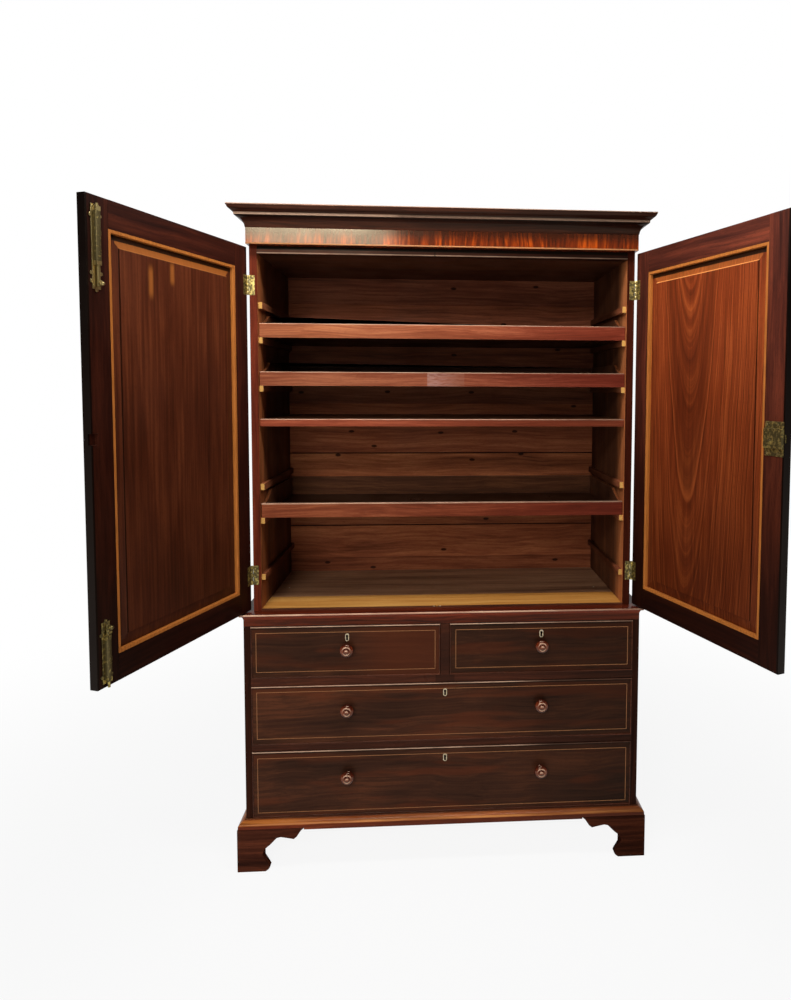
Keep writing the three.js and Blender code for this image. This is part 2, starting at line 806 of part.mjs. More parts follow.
// A rail with a stub tenon at each end. Its groove takes the panel's edge.
function rail(side, z0, z1, grooveAtTop) {
  const body = doorBlock(
    side, hingeStileEnd + runningGap, freeStileStart - runningGap, outerFace, innerFace, z0, z1,
  );
  const grooveZ = grooveAtTop
    ? [z1 - panelGrooveDepth, z1 + cutOverrun]
    : [z0 - cutOverrun, z0 + panelGrooveDepth];
  const tenonZ = grooveAtTop
    ? [z0 + tenonShoulder, z1 - panelGrooveDepth - runningGap]
    : [z0 + panelGrooveDepth + runningGap, z1 - tenonShoulder];
  const reach = panelGrooveDepth - runningGap;
  const tenon = doorBlock(
    side, hingeStileEnd - reach, freeStileStart + reach,
    grooveOuter + runningGap, grooveInner - runningGap, ...tenonZ,
  );
  const groove = panelGroove(side, 0, freeEdge, ...grooveZ);
  return body.subtract(groove).add(tenon);
}

// The panel: an edge in the grooves, a flat outer side, and a raised field inside.
function doorPanel(side) {
  const reach = panelGrooveDepth - runningGap;
  const tongueInner = grooveInner - runningGap;
  const tongueOuter = grooveOuter + runningGap;
  const tongue = doorBlock(
    side, hingeStileEnd - reach, freeStileStart + reach, tongueOuter, tongueInner,
    bottomRailZ - reach, topRailZ + reach,
  );
  const outer = doorBlock(
    side, hingeStileEnd + runningGap, freeStileStart - runningGap,
    outerFace + panelOuterSink, tongueInner,
    bottomRailZ + runningGap, topRailZ - runningGap,
  );
  const foot = fieldMargin - fieldBevel;
  const field = doorBlock(
    side, hingeStileEnd + foot, freeStileStart - foot, tongueInner, innerFace - fieldSink,
    bottomRailZ + foot, topRailZ - foot, fieldBevel,
  );
  return joined([tongue, outer, field]);
}

// One half of a butt hinge. The case leaf has the odd knuckles and the pin, the door leaf
// the even ones. inward is 1 for the leaf behind the pin's plane and -1 for the other.
function hingeLeaf(side, z, onCase) {
  const inward = onCase ? 1 : -1;
  const [n0, n1] = ordered(
    inward * (doorCaseGap / 2 - leafProud),
    inward * (doorCaseGap / 2 - leafProud + leafThickness),
  );
  const plate = doorBlock(side, pinOutset, pinOutset + leafWidth, n0, n1, z, z + hingeHeight);
  const step = hingeHeight / knuckleCount;
  const knuckles = [];
  for (let i = onCase ? 0 : 1; i < knuckleCount; i += 2) {
    const z0 = z + i * step + runningGap / 2;
    const z1 = z + (i + 1) * step - runningGap / 2;
    knuckles.push(cylinder("z", knuckleRadius, [0, 0], z0, z1, rodTurns));
    knuckles.push(doorBlock(side, 0, pinOutset, n0, n1, z0, z1));
  }
  const leaf = joined([plate, ...knuckles]);
  if (onCase) {
    return leaf.add(cylinder("z", hingePinRadius, [0, 0], z, z + hingeHeight, pinTurns));
  }
  return leaf.subtract(cylinder(
    "z", hingePinRadius + runningGap, [0, 0],
    z - cutOverrun, z + hingeHeight + cutOverrun, pinTurns,
  ));
}

function caseHinges(side) {
  const group = new THREE.Group();
  group.position.set(side * pinX, pinY, 0);
  const names = ["bottom", "top"];
  hingePlaces().forEach((z, i) => {
    const name = `hinge_case_leaf_${doorName(side)}_${names[i]}`;
    group.add(piece(name, finishes.brass, hingeLeaf(side, z, true)));
  });
  return group;
}

// A surface bolt's plate with the guides that its rod slides in.
function guidedPlate(z0, z1, guideZs) {
  const halfPlate = boltPlateWidth / 2;
  const halfGuide = boltGuideWidth / 2;
  const seat = innerFace + runningGap;
  const plateTop = seat + boltPlateThickness;
  const plate = doorBlock(
    -1, boltAlong - halfPlate, boltAlong + halfPlate, seat, plateTop, z0, z1,
  );
  const guides = guideZs.map((z) => doorBlock(
    -1, boltAlong - halfGuide, boltAlong + halfGuide, plateTop, boltGuideRise,
    z, z + boltGuideHeight,
  ));
  const bore = cylinder(
    "z", boltRodRadius + runningGap, [boltAlong, boltRodRise],
    z0 - cutOverrun, z1 + cutOverrun, rodTurns,
  );
  return joined([plate, ...guides]).subtract(bore);
}

function boltRod(z0, z1, knobZ) {
  const axis = [boltAlong, boltRodRise];
  const knobAxis = [boltAlong, knobZ];
  const headStart = boltKnobReach - boltKnobThickness;
  return joined([
    cylinder("z", boltRodRadius, axis, z0, z1, rodTurns),
    cylinder("y", boltKnobStemRadius, knobAxis, boltRodRise, boltKnobReach, rodTurns),
    cylinder("y", boltKnobRadius, knobAxis, headStart, boltKnobReach, rodTurns),
  ]);
}

function bolts() {
  const topPlateEnd = caseCeilingZ - topBoltPlateGap;
  const topPlateStart = topPlateEnd - topBoltLength;
  const bottomPlateStart = caseFloorZ + bottomBoltPlateGap;
  const bottomPlateEnd = bottomPlateStart + bottomBoltLength;
  const topRodStart = topPlateStart + boltTailLength;
  const topKnobZ = topRodStart + boltKnobRadius;
  const bottomRodEnd = bottomPlateEnd - boltTailLength;
  const bottomKnobZ = bottomRodEnd - boltKnobRadius;
  const guideTravel = (share, start, end) => start + share * (end - start);
  const topGuides = [
    ...boltGuideShares.map((share) => guideTravel(share, topPlateStart, topPlateEnd)),
    topPlateEnd - boltGuideInset - boltGuideHeight,
  ];
  const bottomGuides = [
    bottomPlateStart + boltGuideInset,
    ...boltGuideShares.map((share) => guideTravel(1 - share, bottomPlateStart, bottomPlateEnd)),
  ];
  return [
    piece("bolt_plate_top", finishes.brass, guidedPlate(topPlateStart, topPlateEnd, topGuides)),
    piece(
      "bolt_rod_top", finishes.brass,
      boltRod(topRodStart, caseCeilingZ - boltTipGap, topKnobZ),
    ),
    piece(
      "bolt_plate_bottom", finishes.brass,
      guidedPlate(bottomPlateStart, bottomPlateEnd, bottomGuides),
    ),
    piece(
      "bolt_rod_bottom", finishes.brass,
      boltRod(caseFloorZ + boltTipGap, bottomRodEnd, bottomKnobZ),
    ),
  ];
}

// The lock's case with its two flanges, hollow where the bolt slides.
function lockCase(side) {
  const body = doorBlock(
    side, lockStart, lockEnd, innerFace - lockDepth, lockProud,
    lockBodyBottomZ, lockBodyTopZ,
  );
  const flange = doorBlock(
    side, lockStart, lockEnd, innerFace + runningGap, innerFace + runningGap + lockPlateThickness,
    lockBottomZ, lockTopZ,
  );
  const channel = doorBlock(
    side, lockEnd - lockBoltLength - runningGap, lockEnd + cutOverrun,
    lockBoltOuter - runningGap, lockBoltInner + runningGap,
    lockMiddleZ - lockBoltHeight / 2 - runningGap, lockMiddleZ + lockBoltHeight / 2 + runningGap,
  );
  return body.add(flange).subtract(channel);
}

function lockBolt(side) {
  return doorBlock(
    side, lockEnd - lockBoltLength, lockEnd - runningGap, lockBoltOuter, lockBoltInner,
    lockMiddleZ - lockBoltHeight / 2, lockMiddleZ + lockBoltHeight / 2,
  );
}

function door(side) {
  const name = doorName(side);
  const group = new THREE.Group();
  group.position.set(side * pinX, pinY, 0);
  group.rotation.z = side * openAngle;
  const [lowHinge, highHinge] = hingePlaces();
  const bottomRail = rail(side, doorBottomZ, bottomRailZ, true);
  const topRail = rail(side, topRailZ, doorTopZ, false);
  group.add(
    piece(`door_${name}_hinge_stile`, finishes.doorMahogany, hingeStile(side)),
    piece(`door_${name}_free_stile`, finishes.doorMahogany, freeStile(side)),
    piece(`door_${name}_bottom_rail`, finishes.doorMahogany, bottomRail),
    piece(`door_${name}_top_rail`, finishes.doorMahogany, topRail),
    piece(`door_${name}_panel`, finishes.figuredVeneer, doorPanel(side)),
    piece(`hinge_door_leaf_${name}_bottom`, finishes.brass, hingeLeaf(side, lowHinge, false)),
    piece(`hinge_door_leaf_${name}_top`, finishes.brass, hingeLeaf(side, highHinge, false)),
  );
  return group;
}

function leftDoor() {
  return door(-1).add(...bolts());
}

function rightDoor() {
  return door(1).add(
    piece("lock_case", finishes.brass, lockCase(1)),
    piece("lock_bolt", finishes.brass, lockBolt(1)),
  );
}

const linenPress = new THREE.Group();
linenPress.position.y = -middleY;
linenPress.add(
  ...baseCarcase(), ...feet(), ...drawers(), ...upperCase(), ...trays(),
  caseHinges(-1), caseHinges(1), leftDoor(), rightDoor(),
);
linenPress.updateMatrixWorld(true);

export default linenPress;
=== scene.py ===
import math

import bmesh
import bpy
from mathutils import Matrix, Vector


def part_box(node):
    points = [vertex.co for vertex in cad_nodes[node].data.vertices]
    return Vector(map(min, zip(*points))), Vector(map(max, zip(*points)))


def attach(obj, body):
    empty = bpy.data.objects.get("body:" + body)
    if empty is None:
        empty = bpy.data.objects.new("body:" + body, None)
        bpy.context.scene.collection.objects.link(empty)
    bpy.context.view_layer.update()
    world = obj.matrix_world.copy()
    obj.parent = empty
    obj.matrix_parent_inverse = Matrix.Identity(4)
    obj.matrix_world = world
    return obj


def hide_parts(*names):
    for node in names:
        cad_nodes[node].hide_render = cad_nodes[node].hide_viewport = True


bl_info = {
    "name": "Linen Press Dressing",
    "version": (1, 0, 0),
    "blender": (4, 5, 0),
    "location": "View3D > Sidebar > Linen Press",
    "description": "Timber finishes, fittings and inlay for a two-part linen press",
    "category": "Object",
}

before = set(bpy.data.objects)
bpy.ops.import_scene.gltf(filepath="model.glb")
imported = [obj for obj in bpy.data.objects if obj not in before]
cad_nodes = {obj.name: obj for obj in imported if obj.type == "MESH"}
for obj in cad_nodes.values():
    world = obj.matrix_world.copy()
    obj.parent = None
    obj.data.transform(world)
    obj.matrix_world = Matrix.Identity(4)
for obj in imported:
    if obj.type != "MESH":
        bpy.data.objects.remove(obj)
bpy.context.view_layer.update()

# The drawer fronts' plane, from which every place to the front or back is given.
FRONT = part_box("base_side_left")[0].y

DRAWERS = ("top_left", "top_right", "middle", "bottom")
SIDES = {"left": -1, "right": 1}

# How far the doors stand open, and where their pins are.
DOOR_DEGREES = 109
PIN_OUT = 0.6045
PIN_BACK = FRONT + 0.0295

# Places on a door are along it and inward from its pin, and up from the ground.
DOOR_INNER = -0.0005
DOOR_OUTER = -0.0225
FREE_EDGE = 0.5985
OPENING_NEAR = 0.063
OPENING_FAR = 0.5395
OPENING_LOW = 0.8835
OPENING_HIGH = 1.8755
PANEL_BORDER = -0.0119
PANEL_OUTER = -0.0195
TONGUE_OUTER = -0.0168
TONGUE = 0.0098

# How each door's frame darkens, as painted falloff of light: at its foot, at its top, and towards its
# free edge.
FRAME_LIGHT_FALLOFF = {"left": (0.36, 0.95, 0.66), "right": (0.24, 1.5, 1.35)}

# Each panel's flame (heart, apex, steepness, pitch), the flame's share of the grain, the
# contrast, the painted falloff of light from foot to top, and how strong the painted light on
# its slope and the painted highlight on its step are.
PANEL_FIGURES = {
    "left": ((0.36, 1.1, 60.0, 0.30), 0.2, 0.17, (0.45, 0.72), 0.5, 0.25),
    "right": ((0.252, 1.20, 50.0, 0.07), 0.5, 0.12, (0.50, 1.02), 0.28, 0.9),
}
# The painted reflections on the left panel: along, up and half as tall.
PAINTED_REFLECTIONS = ((0.402, 1.776, 0.050), (0.325, 1.808, 0.036))

# Each tray front's painted light, brighter in the upper trays, and what each is multiplied by at
# its left and its right end, as painted falloff of light to the right.
TRAYS = {"top": (1.30, 1.60, 1.50), "middle": (0.88, 0.96, 0.98), "lower": (0.80, 0.74, 0.64)}
TRAY_END_LIGHT = ((1.0, 1.18, 1.16), (0.54, 0.37, 0.43))
TRAY_HEIGHT = 0.044
TRAY_BOTTOM = 0.0085
# The painted reflection on the middle tray's front: its ends, and its colour at each of them.
TRAY_REFLECTION = (-0.057, 0.060)
TRAY_REFLECTION_PALE = ((0.52, 0.26, 0.21, 1.0), (0.34, 0.12, 0.07, 1.0))

# The cupboard's planes, where one wood or one piece ends.
SIDE_EDGE = FRONT + 0.0312
RUNNER_END = FRONT + 0.040
SHELF_EDGE = FRONT + 0.052
TRAY_FACE = FRONT + 0.0561
CEILING_EDGE = FRONT + 0.060
OAK_BACK = FRONT + 0.158
CASE_BACK = FRONT + 0.490
RUNNER_HALF = 0.5768
INSIDE_HALF = 0.5775
FLOOR_TOP = 0.818

# The back's foot and top, the seams between its boards as shares of the way up, and how much
# each band between them is darkened or lightened.
BACK_HEIGHTS = (0.818, 1.924)
BACK_SEAMS = (0.045, 0.157, 0.283, 0.406, 0.576, 0.785, 0.912)
BACK_TINTS = (
    (0.70, 0.62, 0.58), (1.10, 1.02, 0.94), (0.86, 0.80, 0.76), (1.42, 1.40, 1.26),
    (1.16, 1.06, 1.02), (0.74, 0.72, 0.78), (1.28, 1.26, 1.30), (0.78, 0.76, 0.86),
)

# The cornice's heights, with its bands of painted shadow, reflection and highlight, and how far out
# its frieze and its returns lie.
FRIEZE_TOP = 1.996
FILLET_SHADOW = (2.0235, 2.0282)
FILLET = (2.0285, 2.0350)
RIM = 2.0550
FRIEZE_OUT = 0.6025
RETURN_OUT = 0.604

# How far each drawer's line lies above its foot and below its top.
LINE_INSETS = {
    "top_left": (0.0193, 0.0206),
    "top_right": (0.0193, 0.0206),
    "middle": (0.0187, 0.0192),
    "bottom": (0.0136, 0.0219),
}
# Each drawer's keyhole, across and up, and the right door's, along and up.
KEYHOLES = {
    "top_left": (-0.307, 0.7344),
    "top_right": (0.307, 0.7344),
    "middle": (0.0, 0.5505),
    "bottom": (0.0, 0.3375),
}
DOOR_KEYHOLE = (0.5715, 1.395)

# Radius and height as shares of a knob's own, from its foot to its face.
KNOB_PROFILE = (
    (0.0, -0.12), (0.44, -0.12), (0.44, -0.02), (0.66, 0.0), (0.67, 0.05), (0.64, 0.10),
    (0.55, 0.15), (0.46, 0.21), (0.44, 0.26), (0.48, 0.31), (0.60, 0.36), (0.78, 0.41),
    (0.92, 0.47), (0.985, 0.54), (1.0, 0.61), (0.98, 0.68), (0.92, 0.75), (0.82, 0.82),
    (0.70, 0.875), (0.60, 0.90), (0.52, 0.90), (0.46, 0.875), (0.42, 0.865), (0.40, 0.90),
    (0.36, 0.94), (0.26, 0.98), (0.13, 0.996), (0.0, 1.0),
)
# The bolts' grips, turned: radius and height in metres.
GRIP_PROFILE = (
    (0, -0.001), (0.0036, -0.001), (0.0030, 0.0014), (0.0024, 0.0022), (0.0038, 0.0034),
    (0.0046, 0.0052), (0.0046, 0.0064), (0.0038, 0.0082), (0.0020, 0.0094), (0, 0.0097),
)

# The hinges' leaves, their screws, in from the pin and up from the middle, and their knuckles.
CASE_LEAF_OUT = 0.5995
CASE_LEAF_FACE = FRONT + 0.0297
DOOR_LEAF_NEAR = 0.0055
HINGE_SCREWS = ((0.0105, -0.021), (0.0065, 0.0), (0.0105, 0.021))
KNUCKLE = 0.0041
KNUCKLE_GAP = 0.0003

# Along the left door to its bolts, and each bolt's brass, the heights of its paired scrolls
# and of its single one, its grip's height and its casing's ends.
BOLT_ALONG = 0.578
BOLTS = {
    "top": ("brass", (1.8965, 1.7680, 1.7500), 1.7305, 1.7445, (1.7956, 1.9060)),
    "bottom": ("dull brass", (0.8455, 0.9440), 0.9745, 0.9605, (0.8440, 0.9320)),
}
SCROLL_OUT = 0.0135
GRIP_FOOT = 0.0125
# The bolts' and the lock's plates, and the screws in a bolt's.
PLATE_FACE = 0.0018
BOLT_SCREW = 0.0021
BOLT_SCREW_OUT = 0.0078
BOLT_SCREW_IN = 0.006

# Along the right door and up to the lock's boss and screws, and the boss's two discs, each
# with its radius and its near and far sides.
LOCK_BOSS = (0.5640, 1.3880)
BOSS_DISCS = ((0.0058, 0.0075, 0.0088), (0.0024, 0.0085, 0.0096))
LOCK_SCREWS = ((0.5508, 1.4292), (0.5850, 1.4292), (0.5508, 1.3597), (0.5850, 1.3597))

# The nails in the cupboard's floor, across and back from the front.
FLOOR_NAILS = ((-0.539, 0.262), (0.527, 0.218), (-0.035, 0.0345), (-0.016, 0.0345))

# How far tarnish covers each brass: the lower the number, the further.
BRASS_WEAR = {"brass": 0.54, "dull brass": 0.44, "casing brass": 0.34, "hinge brass": 0.48}

# Each lamp's place, what it points at, its width, its height and its watts.
LAMPS = {
    "key lamp": ((-1.3, -4.1, 3.3), (0.0, 0.0, 1.2), 1.4, 0.5, 56),
    "soft panel": ((-0.68, -2.4, 1.2), (-0.5, 0.0, 1.1), 1.3, 1.8, 16),
    "overhead lamp": ((-0.05, -0.5, 2.6), (0.0, 0.0, 1.2), 1.6, 0.25, 24),
    "window": ((-0.735, -2.15, 2.445), (-0.735, 0.0, 2.445), 0.893, 0.30, 3.8),
}

# Each timber, with its dark, middle and light tones as they look, 0 to 255.
TONES = ("dark", "mid", "light")
TIMBERS = {
    "case": ("the case", (36, 18, 13), (66, 33, 22), (98, 50, 32)),
    "drawer": ("the drawer fronts", (27, 15, 10), (56, 31, 20), (88, 48, 29)),
    "door": ("the door frames", (30, 13, 10), (60, 26, 18), (92, 42, 27)),
    "left_panel": ("the left door's panel", (56, 25, 14), (96, 45, 26), (136, 70, 40)),
    "right_panel": ("the right door's panel", (78, 30, 13), (124, 52, 23), (168, 82, 38)),
    "tray": ("the tray fronts", (98, 40, 24), (132, 60, 38), (172, 92, 62)),
    "edge": ("the upper case's front edges", (58, 20, 11), (86, 33, 19), (112, 48, 29)),
    "floor": ("the floor behind its oak strip", (100, 68, 48), (152, 108, 78), (184, 138, 102)),
    "inside": ("the wood inside the cupboard", (50, 29, 19), (82, 48, 31), (112, 68, 42)),
    # Painted light: the lit front of the inner sides, and the tray insides that face up
    "mellow": ("the inner sides near the front", (112, 62, 34), (178, 104, 60), (208, 134, 82)),
    "waist": ("the waist moulding", (52, 17, 9), (112, 40, 20), (150, 60, 30)),
    "back": ("the pine back boards", (84, 44, 28), (142, 80, 52), (180, 112, 74)),
    "oak": ("the floor's oak strip", (144, 88, 36), (184, 124, 56), (208, 154, 82)),
    "lining": ("the drawer linings", (120, 84, 50), (168, 126, 82), (196, 156, 108)),
    "veneer": ("the frieze's veneer", (44, 16, 6), (102, 34, 8), (186, 76, 14)),
    "plinth": ("the plinth moulding", (70, 26, 14), (128, 48, 20), (168, 82, 42)),
    # Its dark and light tones also give the knobs' painted shade and painted light
    "knob": ("the knobs", (46, 16, 9), (86, 29, 12), (130, 56, 26)),
}
COLOURS = {
    "drawer_warm": ("Redder clouds in the drawer fronts", (84, 38, 20)),
    # Painted highlight, laid on rounded edges and tops and as the knobs' glint
    "rubbed": ("Edges that wear has rubbed pale", (222, 182, 152)),
    "free_edge": ("The doors' darkened free edges", (14, 7, 5)),
    # Painted light: the gold of slopes that face up, of the left panel's painted reflections and of
    # the plinth's painted highlight
    "bevel": ("Faded wood where a slope faces up", (196, 116, 50)),
    # Painted highlight on the upper step of a panel's field and on the plinth's slope
    "rubbed_step": ("The pale upper edge of a panel's field", (226, 150, 84)),
    "bead": ("The satinwood beads round the panels", (174, 104, 46)),
    "runner_end": ("The runners' pale sawn ends", (196, 148, 80)),
    # Also the painted shade on the trays' bottom boards
    "seam": ("The dark seams between the back boards", (26, 12, 8)),
    "line": ("The pale stringing", (158, 106, 66)),
    "bone": ("The bone keyhole plates", (204, 192, 168)),
    "brass": ("The fittings' brass", (206, 182, 104)),
    "tarnish": ("The fittings' tarnish", (98, 86, 54)),
    "nail": ("The nails' worn heads", (232, 216, 184)),
    # Painted shade: keyholes, screw slots, and painted shadows under beads, edges and mouldings
    "recess": ("Grime, and the dark inside of a keyhole", (10, 7, 5)),
    "studio": ("The studio's pale floor", (232, 232, 230)),
}


# Sizes and colours that a user may change


def length(label, about, default):
    return bpy.props.FloatProperty(
        name=label, description=about, default=default, min=0.0, subtype="DISTANCE", unit="LENGTH",
    )


def colour(name, about, looks):
    """A colour written as it looks, 0 to 255, and kept as Blender's linear light."""
    linear = [
        share / 12.92 if share <= 0.04045 else ((share + 0.055) / 1.055) ** 2.4
        for share in (part / 255 for part in looks)
    ]
    return bpy.props.FloatVectorProperty(
        name=name.replace("_", " ").capitalize(), description=about, default=(*linear, 1.0),
        size=4, min=0.0, max=1.0, subtype="COLOR",
    )


def colour_properties():
    """A property for each tone of each timber, and for each single colour."""
    made = {}
    for family, (about, *looks) in TIMBERS.items():
        for tone, look in zip(TONES, looks):
            name = f"{family}_{tone}"
            made[name] = colour(name, f"{tone.capitalize()} tone of {about}", look)
    for name, (about, look) in COLOURS.items():
        made[name] = colour(name, about, look)
    return made


class LinenPressSizes(bpy.types.PropertyGroup):
    arris: length("Arris", "Rounding of every wooden edge", 0.0008)
    brass_edge: length("Brass edge", "Rounding of the brass fittings' edges", 0.0004)
    bead_width: length("Door bead", "Width of the bead round each door's panel", 0.0082)
    bead_round: length("Bead round", "Rounding of the bead's inner edge", 0.0020)
    outer_bead_width: length("Outer bead", "Width of the bead on a door's outer face", 0.006)
    panel_margin: length("Panel margin", "From the panel's opening to its raised field", 0.0370)
    panel_rise: length("Panel slope", "How far the slope round the field rises", 0.0044)
    field_step: length("Field step", "Height of the step at the field's edge", 0.0020)
    cockbead_width: length("Cockbead", "Width of the bead round a drawer front", 0.0042)
    line_width: length("Stringing", "Width of the pale line let into the drawers", 0.0016)
    line_proud: length("Stringing stand", "How far a pale line stands proud", 0.0002)
    line_inset_side: length("Stringing side", "From the drawer's end to its line", 0.0155)
    frieze_line: length("Frieze line", "Height of the pale line under the frieze", 0.0042)
    plinth_strip: length("Plinth strip", "Height of the strip under the plinth moulding", 0.0060)
    plate_width: length("Keyhole plate width", "Width of a bone keyhole plate", 0.0122)
    plate_height: length("Keyhole plate height", "Height of a bone keyhole plate", 0.0246)
    knob_radius: length("Knob radius", "Radius of a drawer's turned knob", 0.0215)
    knob_reach: length("Knob reach", "How far a knob stands out from its drawer", 0.0320)
    screw_radius: length("Screw", "Radius of the hinges' and the lock's screws", 0.0027)
    nail_radius: length("Nail", "Radius of a nail's head", 0.0026)
    casing_width: length("Bolt casing", "Width of the casing over a bolt's rod", 0.0136)
    casing_rise: length("Bolt casing rise", "How far a bolt's casing stands out", 0.0114)
    scroll_radius: length("Scroll", "Radius of a scroll on a bolt's plate", 0.0040)


class LinenPressColours(bpy.types.PropertyGroup):
    __annotations__ = colour_properties()


# Meshes

# Turns that make a shape's own Z point out of the drawer fronts, or inward on a door.
OUTWARD = Matrix.Rotation(math.radians(90), 4, "X")
INWARD = Matrix.Rotation(math.radians(-90), 4, "X")


def door_place(side):
    """From a door's own directions (along it, inward, up) to its open place."""
    lean = math.radians(180 - DOOR_DEGREES)
    place = Matrix.Identity(4)
    place.col[0][:3] = (side * math.cos(lean), -math.sin(lean), 0)
    place.col[1][:3] = (-side * math.sin(lean), -math.cos(lean), 0)
    place.col[3][:3] = (side * PIN_OUT, PIN_BACK, 0)
    return place


def edges_of(verts):
    return list({edge for vert in verts for edge in vert.link_edges})


def round_edges(bm, edges, offset, segments):
    bmesh.ops.bevel(
        bm, geom=edges, offset=offset, offset_type="OFFSET", segments=segments,
        profile=0.5, affect="EDGES", material=-1, clamp_overlap=True,
    )


def bar(bm, low, high, rounding=0.0):
    """A squared length between two corners, with its edges rounded."""
    low, high = Vector(low), Vector(high)
    place = Matrix.Translation((low + high) / 2) @ Matrix.Diagonal((*(high - low), 1))
    made = bmesh.ops.create_cube(bm, size=1.0, matrix=place)["verts"]
    if rounding:
        round_edges(bm, edges_of(made), rounding, 2)


def turning(bm, profile, place, turns):
    """A shape turned on a lathe, from (radius, height) points, about its own Z."""
    verts = [bm.verts.new((radius, 0, height)) for radius, height in profile]
    edges = [bm.edges.new(pair) for pair in zip(verts, verts[1:])]
    bmesh.ops.spin(
        bm, geom=verts + edges, cent=(0, 0, 0), axis=(0, 0, 1), angle=math.tau,
        steps=turns, use_merge=True, use_duplicate=False,
    )
    bmesh.ops.remove_doubles(bm, verts=bm.verts, dist=1e-6)
    bmesh.ops.transform(bm, matrix=place, verts=bm.verts)


def add_turning(bm, profile, place, turns):
    """Adds a turned shape to a mesh that holds others already."""
    part = bmesh.new()
    turning(part, profile, place, turns)
    scratch = bpy.data.meshes.new("turned")
    part.to_mesh(scratch)
    part.free()
    bm.from_mesh(scratch)
    bpy.data.meshes.remove(scratch)


def disc(bm, along, up, radius, low, high):
    """A flat disc with rounded rims, lying on a door, from low to high inward."""
    made = bmesh.ops.create_cone(
        bm, cap_ends=True, segments=20, radius1=radius, radius2=radius, depth=high - low,
        matrix=Matrix.Translation((along, (low + high) / 2, up)) @ OUTWARD,
    )["verts"]
    rims = [edge for edge in edges_of(made) if abs(edge.calc_face_angle(0.0)) > 1.0]
    round_edges(bm, rims, 0.0003, 1)


def screw(bm, place, radius, stand=0.0006):
    """A screw's head, a shallow turned dome that stands so far out."""
    dome = (
        (0, -0.0003), (radius, -0.0003), (radius, stand * 0.17), (radius * 0.8, stand * 0.67),
        (radius * 0.35, stand * 0.92), (0, stand),
    )
    add_turning(bm, dome, place, 16)


def slot_cut(bm, place, radius, tilt, stand=0.0006):
    """A dark bar of painted shade for a screw's slot, lying across its head."""
    turned = place @ Matrix.Rotation(tilt, 4, "Z")
    bmesh.ops.create_cube(
        bm, size=1.0,
        matrix=turned @ Matrix.Translation((0, 0, stand - 0.00017))
        @ Matrix.Diagonal((radius * 1.7, radius * 0.26, 0.0004, 1)),
    )


def hoop(bm, low, high, width, near, far, rounding=0.0, segments=3, both=False):
    """A mitred frame in the X-Z plane, from near to far along Y.

    Its inner edge at far is rounded, and with both its outer edge too."""
    flat = Matrix.Translation(((low[0] + high[0]) / 2, near, (low[1] + high[1]) / 2))
    flat = flat @ OUTWARD
    flat = flat @ Matrix.Diagonal((high[0] - low[0], high[1] - low[1], 1, 1))
    bmesh.ops.create_grid(bm, x_segments=1, y_segments=1, size=0.5, matrix=flat)
    field = list(bm.faces)
    bmesh.ops.inset_region(
        bm, faces=field, thickness=width, use_boundary=True, use_even_offset=True,
    )
    bmesh.ops.delete(bm, geom=field, context="FACES")
    grown = bmesh.ops.extrude_face_region(bm, geom=list(bm.faces))["geom"]
    moved = [part for part in grown if isinstance(part, bmesh.types.BMVert)]
    bmesh.ops.translate(bm, vec=(0, far - near, 0), verts=moved)
    if rounding:
        rims = [
            edge for edge in bm.edges
            if all(abs(vert.co.y - far) < 1e-6 for vert in edge.verts)
            and abs(edge.calc_face_angle(0.0)) > 1.0
        ]
        inside = [
            edge for edge in rims
            if all(
                low[0] + width * 0.9 < vert.co.x < high[0] - width * 0.9
                and low[1] + width * 0.9 < vert.co.z < high[1] - width * 0.9
                for vert in edge.verts
            )
        ]
        round_edges(bm, rims if both else inside, rounding, segments)


def placed_piece(bm, name, material, body, place=None, sharp=40):
    """Puts a finished mesh in its place, on the body it moves with."""
    if place is not None:
        bmesh.ops.transform(bm, matrix=place, verts=bm.verts)
    bmesh.ops.remove_doubles(bm, verts=bm.verts, dist=1e-7)
    bmesh.ops.recalc_face_normals(bm, faces=bm.faces)
    mesh = bpy.data.meshes.new(name)
    bm.to_mesh(mesh)
    bm.free()
    mesh.polygons.foreach_set("use_smooth", [True] * len(mesh.polygons))
    mesh.set_sharp_from_angle(angle=math.radians(sharp))
    mesh.materials.append(material)
    piece = bpy.data.objects.new(name, mesh)
    bpy.context.scene.collection.objects.link(piece)
    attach(piece, body)
    return piece


def finish_node(name, material, width):
    """Gives a CAD node its material, and rounds its edges once its triangles are joined."""
    target = cad_nodes[name]
    target.data.materials.clear()
    target.data.materials.append(material)
    if target.data.has_custom_normals:
        target.data.attributes.remove(target.data.attributes["custom_normal"])
    weld = target.modifiers.new("Join", "WELD")
    weld.merge_threshold = 0.00001
    flat = target.modifiers.new("Whole faces", "DECIMATE")
    flat.decimate_type = "DISSOLVE"
    flat.angle_limit = math.radians(0.5)
    edge = target.modifiers.new("Arris", "BEVEL")
    edge.width = width
    edge.segments = 2
    edge.limit_method = "ANGLE"
    edge.angle_limit = math.radians(28)
    edge.use_clamp_overlap = True
    edge.harden_normals = True
    target.data.polygons.foreach_set("use_smooth", [True] * len(target.data.polygons))


# Node trees


class Value:
    """A number, colour or place that varies over a surface: a socket in a node tree."""

    def __init__(self, tree, socket):
        self.tree = tree
        self.socket = socket

    def maths(self, operation, other=0.0):
        return node(self.tree, "ShaderNodeMath", {0: self, 1: other}, operation=operation)

    def __add__(self, other):
        return self.maths("ADD", other)

    def __sub__(self, other):
        return self.maths("SUBTRACT", other)

    def __mul__(self, other):
        return self.maths("MULTIPLY", other)

    def __truediv__(self, other):
        return self.maths("DIVIDE", other)

    def __gt__(self, other):
        return self.maths("GREATER_THAN", other)

    def __lt__(self, other):
        return self.maths("LESS_THAN", other)

    def __abs__(self):
        return self.maths("ABSOLUTE")

    def __getitem__(self, axis):
        return node(self.tree, "ShaderNodeSeparateXYZ", {0: self}, axis)


